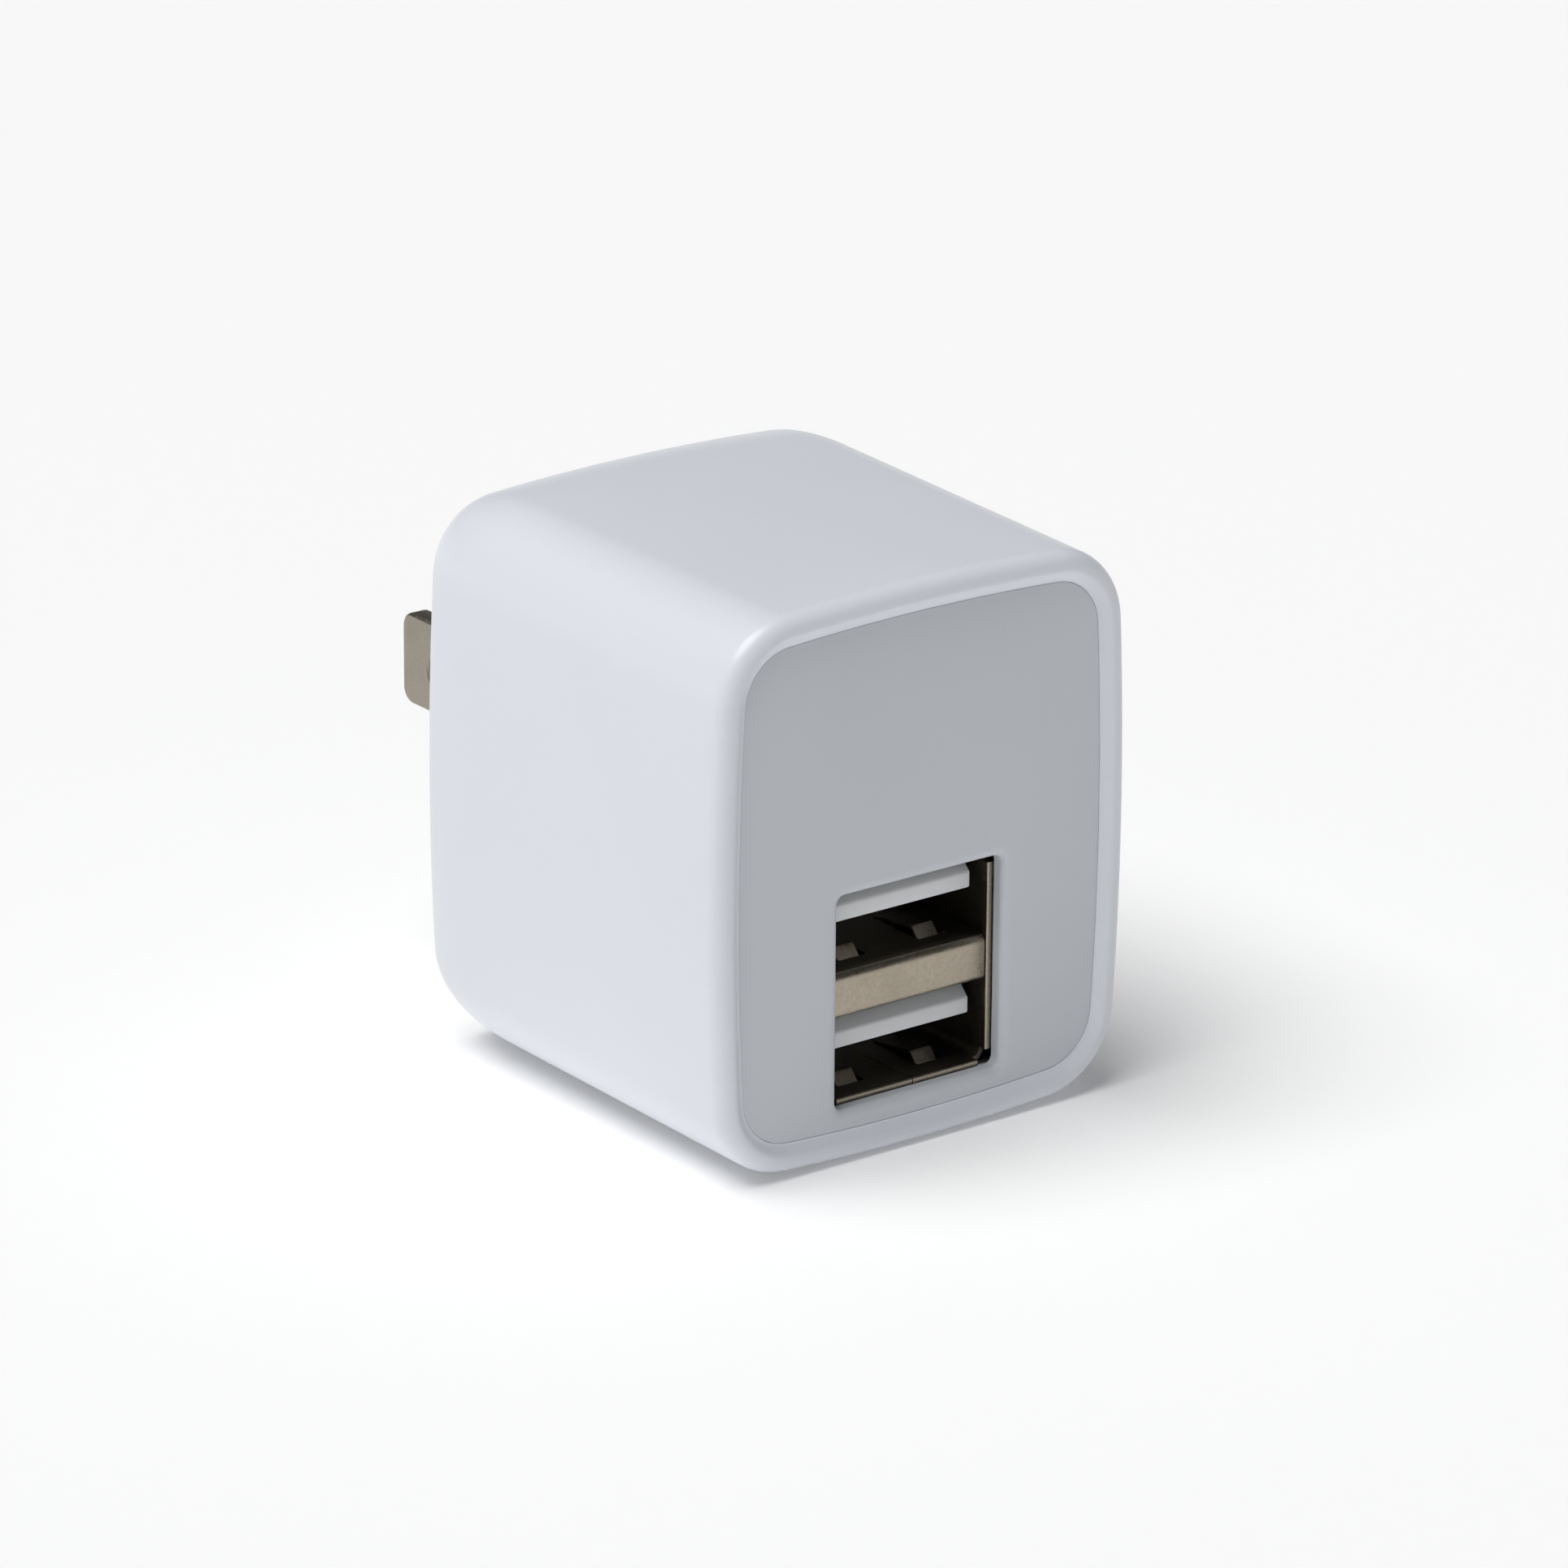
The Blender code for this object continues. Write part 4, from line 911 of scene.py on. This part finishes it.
def socket_shell(finish, painted_shade_finish):
    """The folded sheet tube: flared lip, notched front corners, seam, spring fingers and legs."""
    low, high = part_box("usb_shell")
    edge = arc((SHEET_ROUNDING,) * 2, SHEET_ROUNDING, math.pi, 1.5 * math.pi, LIP_STEPS)
    profile = [(0.0, SHELL_LENGTH), (0.0, LIP_LENGTH), (-LIP_FLARE, LIP_LENGTH - LIP_FLARE)]
    profile += [(inset - LIP_FLARE, depth) for inset, depth in edge]
    profile += [(SHEET - inset, depth) for inset, depth in reversed(edge)]
    profile += [(SHEET, SHELL_LENGTH)]
    rings = []
    for inset, depth in profile:
        outline = rounded_rectangle(
            high.x - inset, SHELL_BOTTOM + inset, high.z - inset, SHELL_CORNER_RADIUS - inset
        )
        rings.append([(x, SHELL_FRONT + depth, z) for x, z in outline])
    bm = bmesh.new()
    skin(bm, rings, closed=True)
    shell = made("socket_shell", bm, finish)
    floor_z = SHELL_BOTTOM + SHEET
    cuts = finger_slots(floor_z)
    seam_low = (SEAM_X - SEAM_WIDTH / 2, SHELL_FRONT - CUT_MARGIN, SHELL_BOTTOM - CUT_MARGIN)
    seam_high = (SEAM_X + SEAM_WIDTH / 2, SHELL_FRONT + SEAM_LENGTH, floor_z + SHEET_CUT_ROOM)
    cuts.append((seam_low, seam_high))
    combine(shell, boxes(cuts), "DIFFERENCE")
    combine(shell, boxes(lip_notches(high)), "DIFFERENCE")
    combine(shell, boxes([leg(side, y, high.x, low.z) for side in (-1, 1) for y in LEG_Y]), "UNION")
    add_fingers(shell, floor_z)
    middle = (SHELL_BOTTOM + high.z) / 2

    # Faces that face into a port, behind the lip and not on a finger's lead-in slope, get the darker colour:
    # painted shade of the port's inside.
    def inside(centre, normal):
        inward = normal.x * centre.x + normal.z * (centre.z - middle) < 0.0
        return inward and normal.y > LEAD_IN_NORMAL and centre.y > SHELL_FRONT + SHADE_DEPTH

    paint_shade_inside(shell, painted_shade_finish, inside)
    install(shell, "socket_steel", "usb_shell")


def lip_notches(high):
    """Boxes that cut the front corners of the folded tube."""
    front = SHELL_FRONT - CUT_MARGIN
    back = SHELL_FRONT + LIP_NOTCH_DEPTH
    found = []
    for side in (-1, 1):
        ends = sorted((side * (high.x - LIP_NOTCH_WIDTH), side * (high.x + CUT_MARGIN)))
        for edge, outer in ((SHELL_BOTTOM, -1), (high.z, 1)):
            heights = sorted((edge - outer * LIP_NOTCH_WIDTH, edge + outer * CUT_MARGIN))
            found.append(((ends[0], front, heights[0]), (ends[1], back, heights[1])))
    return found


def leg(side, y, half_width, foot):
    """The box of one solder leg, a little thinner than the shell's wall."""
    ends = sorted((side * (half_width - LEG_INSET), side * (half_width - SHEET + LEG_INSET)))
    low = (ends[0], SHELL_FRONT + y, foot)
    high = (ends[1], SHELL_FRONT + y + LEG_WIDTH, SHELL_BOTTOM + LEG_REACH)
    return low, high


def add_fingers(obj, floor_z):
    """Adds the spring fingers of one floor to the sheet."""
    bm = bmesh.new()
    bm.from_mesh(obj.data)
    for x in FINGER_X:
        finger(bm, x, floor_z)
    bmesh.ops.recalc_face_normals(bm, faces=bm.faces)
    bm.to_mesh(obj.data)
    bm.free()
    smooth(obj.data)


def port_divider(finish, painted_shade_finish):
    """The folded sheet between the ports: round bends, rounded cut edges, and fingers on top."""
    low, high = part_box("usb_divider")
    upper = (low.y + DIVIDER_TOP_BEND, high.z - DIVIDER_TOP_BEND)
    lower = (low.y + DIVIDER_BOTTOM_BEND, low.z + DIVIDER_BOTTOM_BEND)
    outline = [(high.y, low.z)]
    outline += arc(lower, DIVIDER_BOTTOM_BEND, -math.pi / 2, -math.pi, DIVIDER_BOTTOM_STEPS)
    outline += arc(upper, DIVIDER_TOP_BEND, math.pi, math.pi / 2, DIVIDER_TOP_STEPS)
    outline += [(high.y, high.z), (high.y, high.z - SHEET)]
    outline += arc(upper, DIVIDER_TOP_BEND - SHEET, math.pi / 2, math.pi, DIVIDER_INNER_STEPS)
    outline += arc(lower, DIVIDER_BOTTOM_BEND - SHEET, -math.pi, -math.pi / 2, DIVIDER_INNER_STEPS)
    outline += [(high.y, low.z + SHEET)]
    bm = bmesh.new()
    extrude_yz(bm, outline, low.x, high.x)
    divider = made("port_divider", bm, finish)
    round_edges(divider, DIVIDER_ROUNDING)
    combine(divider, boxes(finger_slots(high.z)), "DIFFERENCE")
    add_fingers(divider, high.z)

    # Faces of the divider that face up or down into the ports get the darker colour as painted shade. In the
    # bends near the front it is also a painted dark reflection.
    def inside(centre, normal):
        bend = centre.y < low.y + DIVIDER_TOP_BEND
        facing = abs(normal.x) < abs(normal.z) and (bend or normal.y > LEAD_IN_NORMAL)
        return facing and centre.y > low.y + DIVIDER_SHADE_START

    paint_shade_inside(divider, painted_shade_finish, inside)
    install(divider, "socket_steel", "usb_divider")


def tongue(name, node, finish):
    """A tongue with a bevelled, rounded front on its rear block, grooved below for four contacts."""
    low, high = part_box(node)
    contact_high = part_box(node.split("_")[0] + "_contact_1")[1]
    underside = contact_high.z - CONTACT_THICKNESS
    top = underside + TONGUE_THICKNESS
    block_front = SHELL_FRONT + BLOCK_START
    outline = [
        (block_front + TONGUE_OVERLAP, underside),
        (low.y, underside),
        (low.y, top - TONGUE_BEVEL),
        (low.y + TONGUE_BEVEL, top),
        (block_front + TONGUE_OVERLAP, top),
    ]
    bm = bmesh.new()
    extrude_yz(bm, outline, -TONGUE_WIDTH / 2, TONGUE_WIDTH / 2)
    piece = made(name, bm, finish)
    round_edges(piece, TONGUE_ROUNDING)
    block = ((low.x, block_front, low.z), (high.x, block_front + BLOCK_LENGTH, high.z))
    combine(piece, boxes([block]), "UNION")
    grooves = []
    half = CONTACT_WIDTH / 2 + GROOVE_ROOM
    front = SHELL_FRONT + CONTACT_START - GROOVE_ROOM
    back = block_front + BLOCK_LENGTH + CUT_MARGIN
    for x in CONTACT_X:
        groove_low = (x - half, front, underside - GROOVE_CUT_ROOM)
        groove_high = (x + half, back, underside + CONTACT_THICKNESS + GROOVE_ROOM)
        grooves.append((groove_low, groove_high))
    combine(piece, boxes(grooves), "DIFFERENCE")
    install(piece, "socket_plastic", node)


# ---------------------------------------------------------------- studio


def floor():
    """A wide sheet of pale paper that the charger stands on."""
    bm = bmesh.new()
    bmesh.ops.create_grid(bm, x_segments=FLOOR_CELLS, y_segments=FLOOR_CELLS, size=FLOOR_HALF)
    sheet = made("studio_floor", bm, studio_floor("studio_floor", FLOOR_COLOUR, FLOOR_GLOW))


def softbox(name, direction, distance, size, power):
    """A square area light that faces the charger from this direction."""
    light = bpy.data.lights.new(name, "AREA")
    light.shape = "RECTANGLE"
    light.size = light.size_y = size
    light.energy = power
    lamp = bpy.data.objects.new(name, light)
    towards = Vector(direction).normalized()
    lamp.location = CAMERA_TARGET + towards * distance
    lamp.rotation_euler = towards.to_track_quat("Z", "Y").to_euler()
    bpy.context.scene.collection.objects.link(lamp)


def daylight(name, direction, strength, spread):
    """A broad even light from far away, so that the floor stays pale to the horizon."""
    light = bpy.data.lights.new(name, "SUN")
    light.energy = strength
    light.angle = spread
    lamp = bpy.data.objects.new(name, light)
    lamp.rotation_euler = Vector(direction).to_track_quat("Z", "Y").to_euler()
    bpy.context.scene.collection.objects.link(lamp)


def surroundings():
    """A dim sky over the pale band that a studio's backdrop makes along the horizon."""
    world = bpy.data.worlds.new("studio")
    world.use_nodes = True
    nodes = world.node_tree.nodes
    links = world.node_tree.links
    height = nodes.new("ShaderNodeSeparateXYZ")
    links.new(nodes.new("ShaderNodeTexCoord").outputs["Generated"], height.inputs[0])
    fade = nodes.new("ShaderNodeMapRange")
    links.new(height.outputs["Z"], fade.inputs["Value"])
    ends = {
        "From Min": BACKDROP_TOP, "From Max": SKY_START, "To Min": BACKDROP_GLOW, "To Max": SKY_GLOW
    }
    for socket, value in ends.items():
        fade.inputs[socket].default_value = value
    background = nodes["Background"]
    background.inputs["Color"].default_value = SKY_COLOUR
    links.new(fade.outputs[0], background.inputs["Strength"])
    bpy.context.scene.world = world


def studio():
    bpy.context.scene.view_settings.view_transform = "Standard"
    surroundings()
    daylight("key", KEY_DIRECTION, KEY_STRENGTH, KEY_SPREAD)
    softbox("side_fill", FILL_DIRECTION, FILL_DISTANCE, FILL_SIZE, FILL_POWER)
    floor()


def camera():
    """The camera from which the photograph's view of the charger was matched."""
    cos_el = math.cos(CAMERA_ELEVATION)
    back = Vector((
        math.sin(CAMERA_AZIMUTH) * cos_el,
        -math.cos(CAMERA_AZIMUTH) * cos_el,
        math.sin(CAMERA_ELEVATION),
    ))
    level = Vector((math.cos(CAMERA_AZIMUTH), math.sin(CAMERA_AZIMUTH), 0.0))
    rise = back.cross(level)
    right = level * math.cos(CAMERA_ROLL) + rise * math.sin(CAMERA_ROLL)
    up = rise * math.cos(CAMERA_ROLL) - level * math.sin(CAMERA_ROLL)
    place = CAMERA_TARGET + right * CAMERA_RIGHT + up * CAMERA_UP + back * CAMERA_DISTANCE
    lens = bpy.data.cameras.new("camera")
    lens.lens = CAMERA_LENS
    lens.sensor_width = CAMERA_SENSOR
    lens.clip_start = CAMERA_NEAR
    view = bpy.data.objects.new("camera", lens)
    view.matrix_world = Matrix.Translation(place) @ Matrix((right, up, back)).transposed().to_4x4()
    bpy.context.scene.collection.objects.link(view)
    bpy.context.scene.camera = view


def build():
    camera()
    studio()
    finishes = make_finishes()
    refinish_cad_nodes(finishes)
    sleeve(finishes["white_gloss"])
    face_panel(finishes["panel_gloss"])
    back_cover(finishes["cover_white"])
    blade("left_blade", "blade_left", finishes["blade_nickel"])
    blade("right_blade", "blade_right", finishes["blade_nickel"])
    socket_shell(finishes["socket_steel"], finishes["socket_painted_shade"])
    port_divider(finishes["socket_steel"], finishes["socket_painted_shade"])
    tongue("upper_tongue", "upper_insulator", finishes["socket_plastic"])
    tongue("lower_tongue", "lower_insulator", finishes["socket_plastic"])


build()
